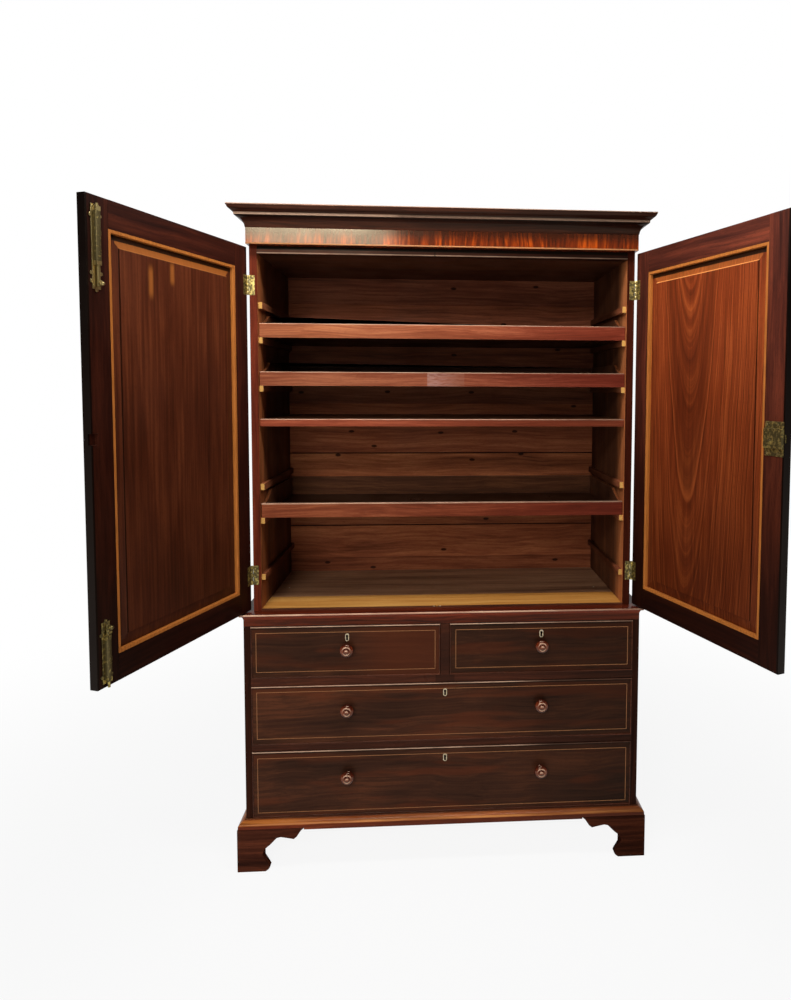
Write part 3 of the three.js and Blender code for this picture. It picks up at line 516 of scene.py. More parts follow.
def node(tree, kind, inputs=None, output=0, **settings):
    """A node with its settings, each input linked or set. Gives one of its outputs."""
    made = tree.nodes.new(kind)
    for key, value in settings.items():
        setattr(made, key, value)
    for key, value in (inputs or {}).items():
        if isinstance(value, Value):
            tree.links.new(value.socket, made.inputs[key])
        else:
            made.inputs[key].default_value = value
    return Value(tree, made.outputs[output]) if len(made.outputs) else None


def larger(first, second):
    return first.maths("MAXIMUM", second)


def between(value, low, high):
    """1 where the value lies from low to high."""
    return (value > low) * (value < high)


def remap(value, low, high, to_low=0.0, to_high=1.0, curve="SMOOTHSTEP"):
    return node(
        value.tree, "ShaderNodeMapRange",
        {"Value": value, "From Min": low, "From Max": high, "To Min": to_low, "To Max": to_high},
        "Result", interpolation_type=curve,
    )


def mixed(share, first, second, blend="MIX"):
    tree = next(part.tree for part in (share, first, second) if isinstance(part, Value))
    return node(
        tree, "ShaderNodeMix", {0: share, 6: first, 7: second}, 2,
        data_type="RGBA", blend_type=blend,
    )


def ramp(value, stops, interpolation="LINEAR"):
    made = node(value.tree, "ShaderNodeValToRGB", {"Fac": value}, "Color")
    colours = made.socket.node.color_ramp
    colours.interpolation = interpolation
    colours.elements.remove(colours.elements[1])
    colours.elements[0].position, colours.elements[0].color = stops[0]
    for position, look in stops[1:]:
        colours.elements.new(position).color = look
    return made


def noise(place, scale, detail, roughness=0.5, output="Fac"):
    return node(
        place.tree, "ShaderNodeTexNoise",
        {"Vector": place, "Scale": scale, "Detail": detail, "Roughness": roughness}, output,
    )


def shade(name):
    return tuple(getattr(bpy.context.scene.linen_press_colours, name))


def tinted(name, *factors):
    """A colour times one factor, or times one each for its red, green and blue."""
    factors = factors * 3 if len(factors) == 1 else factors
    return (*(min(1.0, part * factor) for part, factor in zip(shade(name), factors)), 1.0)


# Grain, painted falloff of light and painted highlights, on a place on the piece


def own_place(tree, turn=0.0, centre=(0, 0, 0)):
    """Object coordinates, centred on a piece and turned with it."""
    return node(
        tree, "ShaderNodeMapping",
        {
            "Vector": node(tree, "ShaderNodeTexCoord", output="Object"),
            "Location": centre,
            "Rotation": (0, 0, turn),
        },
        "Vector", vector_type="TEXTURE",
    )


def door_axes(side):
    """The turn and centre with which own_place lies along a door."""
    turn = math.radians(DOOR_DEGREES)
    return (-turn if side < 0 else -math.pi + turn), (side * PIN_OUT, PIN_BACK, 0)


def facing(place, axis):
    """How far the surface faces along an axis, -1 to 1."""
    return node(place.tree, "ShaderNodeNewGeometry", output="Normal")[axis]


def facing_up(place, low, high):
    """0 to 1 as the surface tips up."""
    return remap(facing(place, "Z"), low, high)


def streaks(place, along, run, width, detail=3.0, roughness=0.55):
    """Noise drawn out along the grain: run long and width wide, in metres."""
    scale = [1 / width] * 3
    scale["XYZ".index(along)] = 1 / run
    drawn = node(place.tree, "ShaderNodeMapping", {"Vector": place, "Scale": scale})
    return noise(drawn, 1.0, detail, roughness)


def wander(place, scale, reach):
    """The same place, pushed about a little, so that the grain isn't ruled."""
    tree = place.tree
    kind = "ShaderNodeVectorMath"
    drift = noise(place, scale, 2.0, output="Color")
    centred = node(tree, kind, {0: drift, 1: (0.5, 0.5, 0.5)}, operation="SUBTRACT")
    pushed = node(tree, kind, {0: centred, "Scale": reach}, operation="SCALE")
    return node(tree, kind, {0: place, 1: pushed}, operation="ADD")


def straight_grain(place, along, width=0.010):
    """Broad bands and fine streaks, 0 dark to 1 light."""
    easy = wander(place, 2.2, 0.05)
    broad = streaks(easy, along, 1.1, width * 9, 2.0)
    fine = streaks(easy, along, 0.28, width, 5.0, 0.62)
    return broad * 0.5 + fine * 0.5


def flame_grain(place, heart, apex, steep, pitch):
    """Cathedral figure: nested arches that narrow into straight grain at the sides."""
    easy = wander(place, 3.0, 0.035)
    aside = easy["X"] - heart
    rings = (easy["Z"] - apex) - aside * aside * steep
    lines = node(
        place.tree, "ShaderNodeTexNoise",
        {"W": rings / pitch, "Scale": 1.0, "Detail": 5.0, "Roughness": 0.6},
        "Fac", noise_dimensions="1D",
    )
    return rings, lines


def timber(grain, place, along, family, contrast=0.16):
    """Colours the grain with a timber's three tones, with small dark pores in it."""
    dark, mid, light = (shade(f"{family}_{tone}") for tone in TONES)
    body = ramp(grain, ((0.5 - contrast, dark), (0.5, mid), (0.5 + contrast, light)))
    pores = streaks(place, along, 0.016, 0.0009, 2.0)
    return mixed(remap(pores, 0.56, 0.70, 0.0, 0.55), body, dark)


def grained(place, along, family, width=0.010):
    """Straight-grained timber, and its grain."""
    grain = straight_grain(place, along, width)
    return timber(grain, place, along, family), grain


def graded(base, place, axis, start, end, first, last):
    """A colour that darkens or lightens along an axis, from first to last."""
    return mixed(1.0, base, remap(place[axis], start, end, first, last), "MULTIPLY")


def painted_highlight_top(wood, place, top, depth, share):
    """The wood with a painted highlight line just under a height, fading to the right."""
    line = between(place["Z"], top - depth, top + 0.001)
    patches = remap(streaks(place, "X", 0.10, 0.02, 3.0), 0.36, 0.6, share * 0.6, share)
    # The painted highlight fades to the right, as the light falls from the left
    pale = graded(shade("rubbed"), place, "X", 0.0, 0.62, 1.0, 0.45)
    return mixed(line * patches, wood, pale)


# Materials


def new_material(name):
    material = bpy.data.materials.new(name)
    material.use_nodes = True
    material.node_tree.nodes.clear()
    return material


def finished(material, base, roughness, height, strength, depth, constants):
    """The material with its shader, whose other sockets are constants, and its bump."""
    tree = material.node_tree
    relief = node(
        tree, "ShaderNodeBump", {"Height": height, "Strength": strength, "Distance": depth},
    )
    shader = node(
        tree, "ShaderNodeBsdfPrincipled",
        {"Base Color": base, "Roughness": roughness, "Normal": relief, **constants},
    )
    node(tree, "ShaderNodeOutputMaterial", {"Surface": shader})
    return material


def polished(
    name, build, *given, axes=(), rough=0.34, shine=0.1, bump=0.12, tint=(1.0, 0.72, 0.52, 1.0),
):
    """A material from the (colour, grain) that build makes at a place with what is given."""
    material = new_material(name)
    tree = material.node_tree
    base, grain = build(own_place(tree, *axes), *given)
    worn = noise(own_place(tree), 7.0, 4.0)
    uneven = remap(worn, 0.3, 0.7, rough * 0.8, rough * 1.25)
    constants = {"Specular IOR Level": shine, "Specular Tint": tint}
    return finished(material, base, uneven, grain, bump, 0.0008, constants)


def plain_timber(place, along, family, fade=None, width=0.010):
    wood, grain = grained(place, along, family, width)
    if fade:
        wood = graded(wood, place, *fade)
    return wood, grain


def rail_timber(place):
    """The upper drawer rail, with the darker post between the small drawers."""
    # Painted falloff of light to the right
    wood, grain = plain_timber(place, "X", "case", ("X", 0.1, 0.64, 1.1, 0.5))
    post = between(place["X"], -0.03, 0.03)
    return mixed(post * 0.6, wood, shade("case_dark")), grain


def drawer_timber(place):
    """Figured mahogany with its waves lying along the drawers, warmer in the top left one, with
    painted shadow under the cockbeads and painted falloff of light to the right.
    """
    waves = streaks(wander(place, 2.6, 0.07), "X", 0.5, 0.009, 5.0, 0.6)
    clouds = streaks(place, "X", 0.4, 0.12, 2.0)
    grain = waves * 0.5 + clouds * 0.5
    wood = timber(grain, place, "X", "drawer", 0.2)
    x = place["X"]
    z = place["Z"]
    flush = (z > 0.6) * remap(x, -0.34, -0.16, 0.0, 0.6) * (x < 0.0)
    warmth = streaks(wander(place, 3.0, 0.05), "X", 0.5, 0.05, 3.0)
    warmth = larger(flush, remap(warmth, 0.5, 0.62, 0.0, 0.45))
    wood = mixed(warmth, wood, shade("drawer_warm"))
    wood = graded(wood, place, "Z", 0.58, 0.61, 1.15, 0.9)
    # Painted shadow under each cockbead's top edge
    for row in ("bottom", "middle", "top_left"):
        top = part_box(f"drawer_{row}_front")[1].z
        under = between(z, top - 0.0080, top - 0.0040)
        wood = mixed(under * 0.7, wood, shade("recess"))
    # Painted falloff of light to the right
    return graded(wood, place, "X", 0.0, 0.62, 1.1, 0.55), grain


def frame_timber(place, word, along):
    """The doors' frames, with painted falloff of light towards the floor and the free edge, and near
    black on the free edges.
    """
    wood, grain = grained(place, along, "door")
    low, high, free_share = FRAME_LIGHT_FALLOFF[word]
    wood = graded(wood, place, "Z", 0.9, 1.85, low, high)
    wood = graded(wood, place, "X", 0.05, 0.6, 1.0, free_share)
    return mixed(place["X"] > FREE_EDGE, wood, shade("free_edge")), grain


def panel_timber(place, word, sizes):
    """A door's panel. Its painted reflections, painted light on its slope, painted highlight on its
    step and painted shadows are on its inner face.
    """
    flame, flames, contrast, fade, slope_light_share, step_highlight_share = PANEL_FIGURES[word]
    rings, lines = flame_grain(place, *flame)
    fine = streaks(place, "Z", 0.30, 0.007, 4.0)
    cloud = streaks(place, "Z", 0.45, 0.11, 3.0)
    rest = (1 - flames) * 0.5
    grain = lines * flames + (fine * rest + cloud * rest)
    wood = timber(grain, place, "Z", f"{word}_panel", contrast)
    if word == "right":
        within = remap(rings, 0.0, 0.04, 0.0, 0.45) * remap(rings, 0.35, 0.7, 1.0, 0.0)
        wood = mixed(within, wood, shade("right_panel_dark"))
        edge = remap(abs(rings), 0.003, 0.014, 0.6, 0.0)
        wood = mixed(edge, wood, shade("right_panel_light"))
    # Painted falloff of light from the panel's foot to its top
    plain = wood = graded(wood, place, "Z", 0.95, 1.8, *fade)
    x = place["X"]
    z = place["Z"]
    # Painted reflections near the top of the left panel
    for along, up, tall in PAINTED_REFLECTIONS if word == "left" else ():
        across = remap(abs(x - along), 0.002, 0.012, 0.45, 0.0)
        painted_reflection = across * remap(abs(z - up), tall * 0.4, tall, 1.0, 0.0)
        wood = mixed(painted_reflection, wood, shade("bevel"))
    field_end = OPENING_FAR - sizes.panel_margin
    field_top = OPENING_HIGH - sizes.panel_margin
    # Painted light on the slope that faces up
    lit_slope = facing_up(place, 0.08, 0.14) * slope_light_share
    lit_slope = lit_slope * between(x, OPENING_NEAR + 0.014, field_end + 0.010)
    wood = mixed(lit_slope, wood, shade("bevel"))
    # Painted highlight along the field's upper step
    step = between(z, field_top - 0.0016, field_top + 0.0012)
    step = step * between(x, OPENING_NEAR + 0.03, field_end)
    wood = mixed(step * step_highlight_share, wood, shade("rubbed_step"))
    # Painted shadow along the field's free edge and under the top bead
    rim = between(x, field_end - 0.0004, field_end + 0.0018) * (z < field_top)
    under = z > OPENING_HIGH - sizes.bead_width - 0.0125
    wood = mixed(larger(rim * 0.75, under * 0.92), wood, shade("recess"))
    inner = abs(place["Y"]) < -PANEL_BORDER + 0.0008
    return mixed(inner, plain, wood), grain


def side_timber(place):
    """The upper case's sides: polished outside, with pale runners nailed on inside, painted light
    near the front inside, painted shade deeper in, and painted falloff of light on the front edges.
    """
    grain = straight_grain(place, "Z")
    case, inner, mellow, edge = (
        timber(grain, place, "Z", family) for family in ("case", "inside", "mellow", "edge")
    )
    x = place["X"]
    y = place["Y"]
    runner = timber(straight_grain(place, "Y", 0.004), place, "Y", "back")
    # Painted shade: the runners darker deeper in
    runner = graded(runner, place, "Y", FRONT + 0.045, FRONT + 0.16, 1.0, 0.35)
    # Painted light on the inner sides near the front
    inner = mixed(remap(y, FRONT + 0.04, FRONT + 0.15, 1.0, 0.0), inner, mellow)
    # Painted falloff of light to the right
    edge = graded(edge, place, "X", -0.6, 0.6, 1.55, 0.42)
    lined = mixed(abs(x) < INSIDE_HALF, case, inner)
    lined = mixed(y < SIDE_EDGE, lined, edge)
    within = abs(x) < RUNNER_HALF
    nailed = mixed(within, lined, runner)
    ends = remap(y, RUNNER_END, FRONT + 0.0405, 1.0, 0.0) * within
    return mixed(ends, nailed, shade("runner_end")), grain


def floor_timber(place):
    """The cupboard's floor: a mahogany lipping, an oak strip, then darker boards behind it."""
    grain = straight_grain(place, "X", 0.008)
    back, oak, lip = (
        timber(grain, place, "X", family) for family in ("floor", "oak", "case")
    )
    y = place["Y"]
    return mixed(y < RUNNER_END, mixed(y > OAK_BACK, oak, back), lip), grain


def edged_timber(place, family, face, pale_at, black_above=None):
    """Stained boards whose front edge is in another wood, with a painted highlight line, painted
    falloff of light to the right and a painted shadow along its upper part.
    """
    grain = straight_grain(place, "X", 0.007)
    inner = timber(grain, place, "X", "inside")
    edge = timber(grain, place, "X", family)
    # Painted falloff of light to the right
    edge = graded(edge, place, "X", -0.5, 0.5, 1.15, 0.62)
    # Painted highlight along the edge's top
    edge = painted_highlight_top(edge, place, pale_at, 0.0022, 0.7)
    # Painted shadow along the edge's upper part, under the frieze
    if black_above:
        notch = between(place["X"], -0.0345, -0.0315)
        edge = mixed(larger(place["Z"] > black_above, notch), edge, shade("recess"))
    return mixed(place["Y"] < face, inner, edge), grain


def tray_timber(place, row):
    """Tray fronts in reddish mahogany, sides and bottoms in stained wood, with painted light where
    they face up and painted shade on the bottom board.
    """
    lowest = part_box(f"tray_{row}")[0].z
    grain = straight_grain(place, "X", 0.005)
    x = place["X"]
    inner = timber(grain, place, "X", "inside")
    inner = mixed(facing_up(place, 0.4, 0.8), inner, shade("mellow_dark"))
    # Painted shade: the bottom board near black
    board = place["Z"] < lowest + TRAY_BOTTOM
    inner = mixed(board * 0.8, inner, shade("seam"))
    front = timber(grain, place, "X", "tray")
    # A painted reflection across the middle tray's front
    if row == "middle":
        pale = mixed(remap(x, *TRAY_REFLECTION), *TRAY_REFLECTION_PALE)
        flecks = remap(streaks(place, "X", 0.02, 0.003, 3.0), 0.4, 0.6, 0.25, 0.65)
        front = mixed(between(x, *TRAY_REFLECTION), front, mixed(flecks, front, pale))
    # Painted light: each tray front brighter to the left and in the upper trays
    ends = [
        (*(own * part for own, part in zip(TRAYS[row], tint)), 1.0) for tint in TRAY_END_LIGHT
    ]
    front = mixed(1.0, front, mixed(remap(x, -0.5, 0.55), *ends), "MULTIPLY")
    # Painted highlight along the top of the front
    front = painted_highlight_top(front, place, lowest + TRAY_HEIGHT, 0.0022, 0.7)
    return mixed(place["Y"] < TRAY_FACE, inner, front), grain


def cockbead_timber(place, drawer, top):
    """Mahogany beads with a painted highlight along their upper edge: the long ones only to the left.
    """
    wood, grain = grained(place, "X", "case", 0.004)
    pale = painted_highlight_top(wood, place, top, 0.0036, 0.95)
    if not drawer.startswith("top"):
        pale = mixed(remap(place["X"], 0.22, 0.34, 1.0, 0.12), wood, pale)
    return pale, grain


def back_timber(place):
    """Pine boards, each band between the seams darker or lighter, with dark seams and knots."""
    wood, grain = grained(place, "X", "back", 0.009)
    z = place["Z"]
    stops = [(0.0, (*BACK_TINTS[0], 1.0))]
    for seam, tint in zip(BACK_SEAMS, BACK_TINTS[1:]):
        stops += [(seam - 0.0014, (0.0, 0.0, 0.0, 1.0)), (seam + 0.0008, (*tint, 1.0))]
    tints = ramp(remap(z, *BACK_HEIGHTS, curve="LINEAR"), stops, "CONSTANT")
    wood = mixed(1.0, wood, tints, "MULTIPLY")
    wood = mixed(1.0, wood, shade("seam"), "LIGHTEN")
    flat = node(place.tree, "ShaderNodeCombineXYZ", {"X": place["X"] * 3.6, "Y": z * 7.5})
    cells = node(
        place.tree, "ShaderNodeTexVoronoi",
        {"Vector": wander(flat, 30.0, 0.01), "Scale": 1.0, "Randomness": 1.0},
        "Distance", voronoi_dimensions="2D",
    )
    return mixed(remap(cells, 0.028, 0.048, 0.9, 0.0), wood, shade("seam")), grain


def veneer(place, width, contrast, dark_from):
    """Crossbanded veneer, darker towards the moulding above it."""
    cross = streaks(wander(place, 9.0, 0.02), "Z", 0.16, width, 5.0, 0.6)
    leaves = streaks(place, "Z", 0.3, width * 10, 2.0)
    figure = cross * 0.6 + leaves * 0.4
    wood = timber(figure, place, "Z", "veneer", contrast)
    shadow = remap(place["Z"], dark_from, dark_from + 0.034, 0.0, 0.85)
    return mixed(shadow, wood, shade("veneer_dark")), figure


def cornice_timber(place):
    """Veneer on the frieze's ends and inside, and plain moulding above it, with painted falloff of
    light, a painted reflection on its fillet, a painted shadow under it and a painted highlight on
    its rim.
    """
    banded, figure = veneer(place, 0.010, 0.17, 1.958)
    # Painted falloff of light to the right
    moulding, grain = plain_timber(place, "X", "case", ("X", -0.5, 0.6, 0.85, 0.32), 0.006)
    x = place["X"]
    z = place["Z"]
    beyond = larger(abs(x) > RETURN_OUT, place["Y"] < FRONT)
    outside = beyond * (facing(place, "Y") < 0.5)
    # Painted reflection on the fillet, strongest to the left
    fillet = between(z, *FILLET) * outside
    strong = remap(x, -0.17, -0.13, 0.55, 0.2)
    moulding = mixed(fillet * strong, moulding, shade("rubbed"))
    # Painted highlight along the top rim
    rim = (z > RIM) * outside * (facing(place, "Z") < 0.8)
    moulding = mixed(rim * 0.4, moulding, shade("rubbed"))
    # Painted shadow under the fillet
    moulding = mixed(between(z, *FILLET_SHADOW) * 0.8, moulding, shade("recess"))
    upper = z > FRIEZE_TOP
    return mixed(upper, banded, moulding), mixed(upper, figure, grain)


def waist_timber(place):
    """The waist moulding, with a painted highlight on its nose, painted light brighter towards its
    top and to the left, and its top face darker.
    """
    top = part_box("base_top_board")[1].z
    wood, grain = grained(place, "X", "waist", 0.006)
    # Painted falloff of light to the right and towards its foot
    wood = graded(wood, place, "X", 0.0, 0.62, 1.0, 0.75)
    wood = graded(wood, place, "Z", top - 0.024, top - 0.006, 0.7, 1.8)
    # Painted highlight along the nose
    nose = painted_highlight_top(wood, place, top, 0.0048, 0.9)
    level = mixed(0.75, wood, shade("waist_dark"))
    return mixed(facing_up(place, 0.93, 0.98), nose, level), grain


def plinth_timber(place):
    """The plinth moulding, with a painted highlight as a golden band on its slope, painted shade
    below it and under its top, and painted falloff of light to the right.
    """
    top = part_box("plinth_moulding")[1].z
    wood, grain = grained(place, "X", "plinth", 0.006)
    x = place["X"]
    z = place["Z"]
    # Painted highlight: a golden band along the slope
    band = remap(streaks(place, "X", 0.2, 0.01, 3.0), 0.35, 0.65, 0.35, 0.8)
    away = abs(z - (top - 0.0125))
    stripe = larger(remap(away, 0.002, 0.006, 1.0, 0.0), remap(x, -0.55, -0.3, 1.0, 0.3))
    slope = facing_up(place, 0.2, 0.5) * band * stripe
    pale = mixed(remap(x, -0.6, 0.0), shade("bevel"), shade("rubbed_step"))
    wood = mixed(slope, wood, pale)
    # Painted shade on the lower face, right of the left end
    below = remap(x, -0.5, -0.3) * facing_up(place, 0.5, 0.2)
    wood = mixed(below * 0.6, wood, shade("plinth_dark"))
    # Painted shadow under the top edge
    wood = mixed(remap(z, top - 0.0045, top - 0.0015, 0.0, 0.7), wood, shade("recess"))
    # Painted falloff of light to the right
    return graded(wood, place, "X", 0.0, 0.65, 1.0, 0.5), grain


def turned_timber(place):
    """The knobs' mahogany, with painted light on the face, a painted highlight as a glint, and
    painted shade where they turn up or under.
    """
    wood, grain = grained(place, "Z", "knob", 0.004)
    up = facing(place, "Z")
    # Painted shade under the knob and on its upper rim
    lit_share = facing_up(place, -0.6, 0.2) * remap(up, 0.35, 0.85, 1.0, 0.25)
    # Painted light on the face towards the front
    ahead = remap(facing(place, "Y"), -0.98, -0.70, 0.5, 0.0)
    worn = mixed(ahead, wood, shade("knob_light"))
    aside = remap(abs(facing(place, "X")), 0.15, 0.45, 1.0, 0.0)
    # Painted highlight as a glint on the upper face
    glint = remap(abs(up - 0.28), 0.08, 0.26, 0.8, 0.0) * aside
    worn = mixed(glint, worn, shade("rubbed"))
    return mixed(lit_share, shade("knob_dark"), worn), grain


def pale_wood(place, name, width):
    """Satinwood or boxwood, let in as a bead or a line."""
    grain = streaks(place, "Z", 0.05, width, 3.0)
    stops = ((0.3, tinted(name, 0.72)), (0.5, shade(name)), (0.7, tinted(name, 1.18)))
    return ramp(grain, stops), grain


def mottled(place, scale, detail, *stops):
    """Fine specks, from one colour to another."""
    specks = noise(place, scale, detail)
    return ramp(specks, stops), specks


def fittings_brass(name="brass"):
    """Brass, bright where it is worn and brown where it isn't, made once for each name."""
    found = bpy.data.materials.get(name)
    if found is not None:
        return found
    material = new_material(name)
    place = own_place(material.node_tree)
    patches = noise(place, 130.0, 5.0, 0.6)
    worn = BRASS_WEAR[name]
    base = mixed(remap(patches, worn - 0.12, worn + 0.12), shade("brass"), shade("tarnish"))
    uneven = remap(patches, 0.3, 0.7, 0.34, 0.52)
    scratches = noise(place, 420.0, 3.0)
    return finished(material, base, uneven, scratches, 0.1, 0.0003, {"Metallic": 0.85})


def keyhole_dark():
    """The painted shade of keyholes and screw slots, made once."""
    found = bpy.data.materials.get("keyhole dark")
    if found is not None:
        return found
    stops = ((0.4, shade("recess")), (0.7, tinted("recess", 1.8)))
    return polished("keyhole dark", mottled, 300.0, 2.0, *stops, rough=0.8)


# Pieces


class LINENPRESS_OT_timber(bpy.types.Operator):
    """Give every wooden CAD node its timber"""

    bl_idname = "linen_press.timber"
    bl_label = "Timber"

    def execute(self, context):
        upright = polished(
            "case mahogany upright", plain_timber, "Z", "case",
            ("Y", FRONT + 0.002, FRONT + 0.02, 0.5, 1.0), shine=0.04,
        )
        # Painted falloff of light to the right
        level = polished(
            "case mahogany level", plain_timber, "X", "case", ("X", 0.1, 0.64, 1.1, 0.5),
        )
        # Painted falloff of light to the right
        foot = polished(
            "foot mahogany", plain_timber, "X", "case", ("X", 0.1, 0.64, 1.5, 0.7), shine=0.0,
        )
        lining = polished("drawer lining", plain_timber, "X", "lining", rough=0.6, shine=0.15)
        hidden = polished("hidden deal", plain_timber, "X", "back", rough=0.65, shine=0.15)
        side = polished("upper side", side_timber, rough=0.4, shine=0.04)
        front = polished("drawer mahogany", drawer_timber, rough=0.36)
        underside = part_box("upper_top_board")[0].z
        ceiling = polished(
            "upper top board", edged_timber, "case", CEILING_EDGE, underside + 0.0035,
            underside + 0.013, rough=0.36, shine=0.15,
        )
        shelf = polished(
            "shelf", edged_timber, "tray", SHELF_EDGE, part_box("shelf")[1].z, rough=0.36, shine=0.15,
        )
        finishes = {
            "base_side_left": upright,
            "base_side_right": upright,
            "base_bottom_board": hidden,
            "base_back_boards": hidden,
            "base_top_board": polished("waist mahogany", waist_timber, rough=0.2, shine=0.2),
            "drawer_rail_lower": level,
            "drawer_rail_upper": polished("drawer rail mahogany", rail_timber),
            "plinth_moulding": polished("plinth mahogany", plinth_timber, rough=0.22, shine=0.2),
            "foot_front_left": foot,
            "foot_front_right": foot,
            "foot_back_left": foot,
            "foot_back_right": foot,
            "upper_side_left": side,
            "upper_side_right": side,
            "upper_floor": polished("cupboard floor", floor_timber, rough=0.5, shine=0.2),
            "upper_top_board": ceiling,
            "upper_back_boards": polished("back boards", back_timber, rough=0.6, shine=0.15),
            "shelf": shelf,
            "cornice": polished("cornice", cornice_timber, rough=0.18, shine=0.2),
        }
        for row in TRAYS:
            finishes[f"tray_{row}"] = polished(f"tray {row}", tray_timber, row, shine=0.15)
        for drawer in DRAWERS:
            finishes[f"drawer_{drawer}_front"] = front
            finishes[f"drawer_{drawer}_box"] = lining
        for word, across in SIDES.items():
            for kind, along, parts in (
                ("stile", "Z", ("hinge_stile", "free_stile")),
                ("rail", "X", ("bottom_rail", "top_rail")),
            ):
                framing = polished(
                    f"door {kind} mahogany {word}", frame_timber, word, along,
                    axes=door_axes(across), rough=0.36,
                )
                for part in parts:
                    finishes[f"door_{word}_{part}"] = framing
        for name, material in finishes.items():
            finish_node(name, material, context.scene.linen_press_sizes.arris)
        return {"FINISHED"}


class LINENPRESS_OT_brass(bpy.types.Operator):
    """Give the hinges, bolts and lock their brass"""

    bl_idname = "linen_press.brass"
    bl_label = "Brass"

    def execute(self, context):
        for name in cad_nodes:
            if not name.startswith(("hinge_", "bolt_", "lock_")):
                continue
            if name.startswith("lock_") or name.endswith("_bottom"):
                material = fittings_brass("dull brass")
            elif name.startswith("hinge_"):
                material = fittings_brass("hinge brass")
            else:
                material = fittings_brass()
            finish_node(name, material, context.scene.linen_press_sizes.brass_edge)
        return {"FINISHED"}


class LINENPRESS_OT_panels(bpy.types.Operator):
    """Fit each door's fielded panel, with its sloping margin and raised field"""

    bl_idname = "linen_press.panels"
    bl_label = "Door panels"

    def execute(self, context):
        sizes = context.scene.linen_press_sizes
        for word, side in SIDES.items():
            bm = bmesh.new()
            self.board(bm, sizes)
            material = polished(
                f"door panel {word}", panel_timber, word, sizes, axes=door_axes(side),
                rough=0.4, shine=0.15,
            )
            piece = placed_piece(
                bm, f"fielded_panel_{word}", material, f"door_{word}",
                door_place(side), sharp=4,
            )
            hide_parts(f"door_{word}_panel")
        return {"FINISHED"}

    def board(self, bm, sizes):
        """A board whose edge fits the grooves, thicker outside and fielded inside."""
        bar(
            bm, (OPENING_NEAR - TONGUE, TONGUE_OUTER, OPENING_LOW - TONGUE),
            (OPENING_FAR + TONGUE, PANEL_BORDER, OPENING_HIGH + TONGUE),
        )
        bm.normal_update()
        outer = [face for face in bm.faces if face.normal.y < -0.9]
        inner = [face for face in bm.faces if face.normal.y > 0.9]
        hidden = sizes.bead_width - 0.0008
        self.draw_in(bm, outer, TONGUE + 0.0002, 0.0)
        self.draw_in(bm, outer, 0.0001, TONGUE_OUTER - PANEL_OUTER)
        self.draw_in(bm, inner, TONGUE + hidden, 0.0)
        self.draw_in(bm, inner, sizes.panel_margin - hidden, sizes.panel_rise)
        self.draw_in(bm, inner, 0.0003, sizes.field_step)

    def draw_in(self, bm, faces, across, out):
        """Draws a face's edge in by across, and lifts the face by out."""
        bmesh.ops.inset_region(
            bm, faces=faces, thickness=across, depth=out, use_even_offset=True,
        )


class LINENPRESS_OT_beads(bpy.types.Operator):
    """Fit the satinwood bead round each door's panel, inside and out"""

    bl_idname = "linen_press.beads"
    bl_label = "Door beads"

    def execute(self, context):
        sizes = context.scene.linen_press_sizes
        material = polished("bead satinwood", pale_wood, "bead", 0.003, shine=0.3)
        faces = {
            "inner": (
                sizes.bead_width, PANEL_BORDER, DOOR_INNER - 0.0002, sizes.bead_round, 5,
            ),
            "outer": (sizes.outer_bead_width, PANEL_OUTER, DOOR_OUTER + 0.0002, 0.0025, 3),
        }
        for word, side in SIDES.items():
            for face, shape in faces.items():
                bm = bmesh.new()
                hoop(bm, (OPENING_NEAR, OPENING_LOW), (OPENING_FAR, OPENING_HIGH), *shape)
                placed_piece(
                    bm, f"bead_{word}_{face}", material, f"door_{word}",
                    door_place(side),
                )
        return {"FINISHED"}


class LINENPRESS_OT_cockbeads(bpy.types.Operator):
    """Run a rounded cockbead round each drawer front"""

    bl_idname = "linen_press.cockbeads"
    bl_label = "Cockbeads"

    def execute(self, context):
        sizes = context.scene.linen_press_sizes
        for drawer in DRAWERS:
            lowest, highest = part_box(f"drawer_{drawer}_front")
            material = polished(
                f"cockbead {drawer.replace('_', ' ')}", cockbead_timber, drawer, highest.z,
                rough=0.24, shine=0.2,
            )
            bm = bmesh.new()
            hoop(
                bm, (lowest.x, lowest.z), (highest.x, highest.z), sizes.cockbead_width,
                FRONT + 0.001, lowest.y - 0.0003, 0.0017, 4, both=True,
            )
            placed_piece(
                bm, f"cockbead_{drawer}", material, f"drawer_{drawer}",
            )
        return {"FINISHED"}


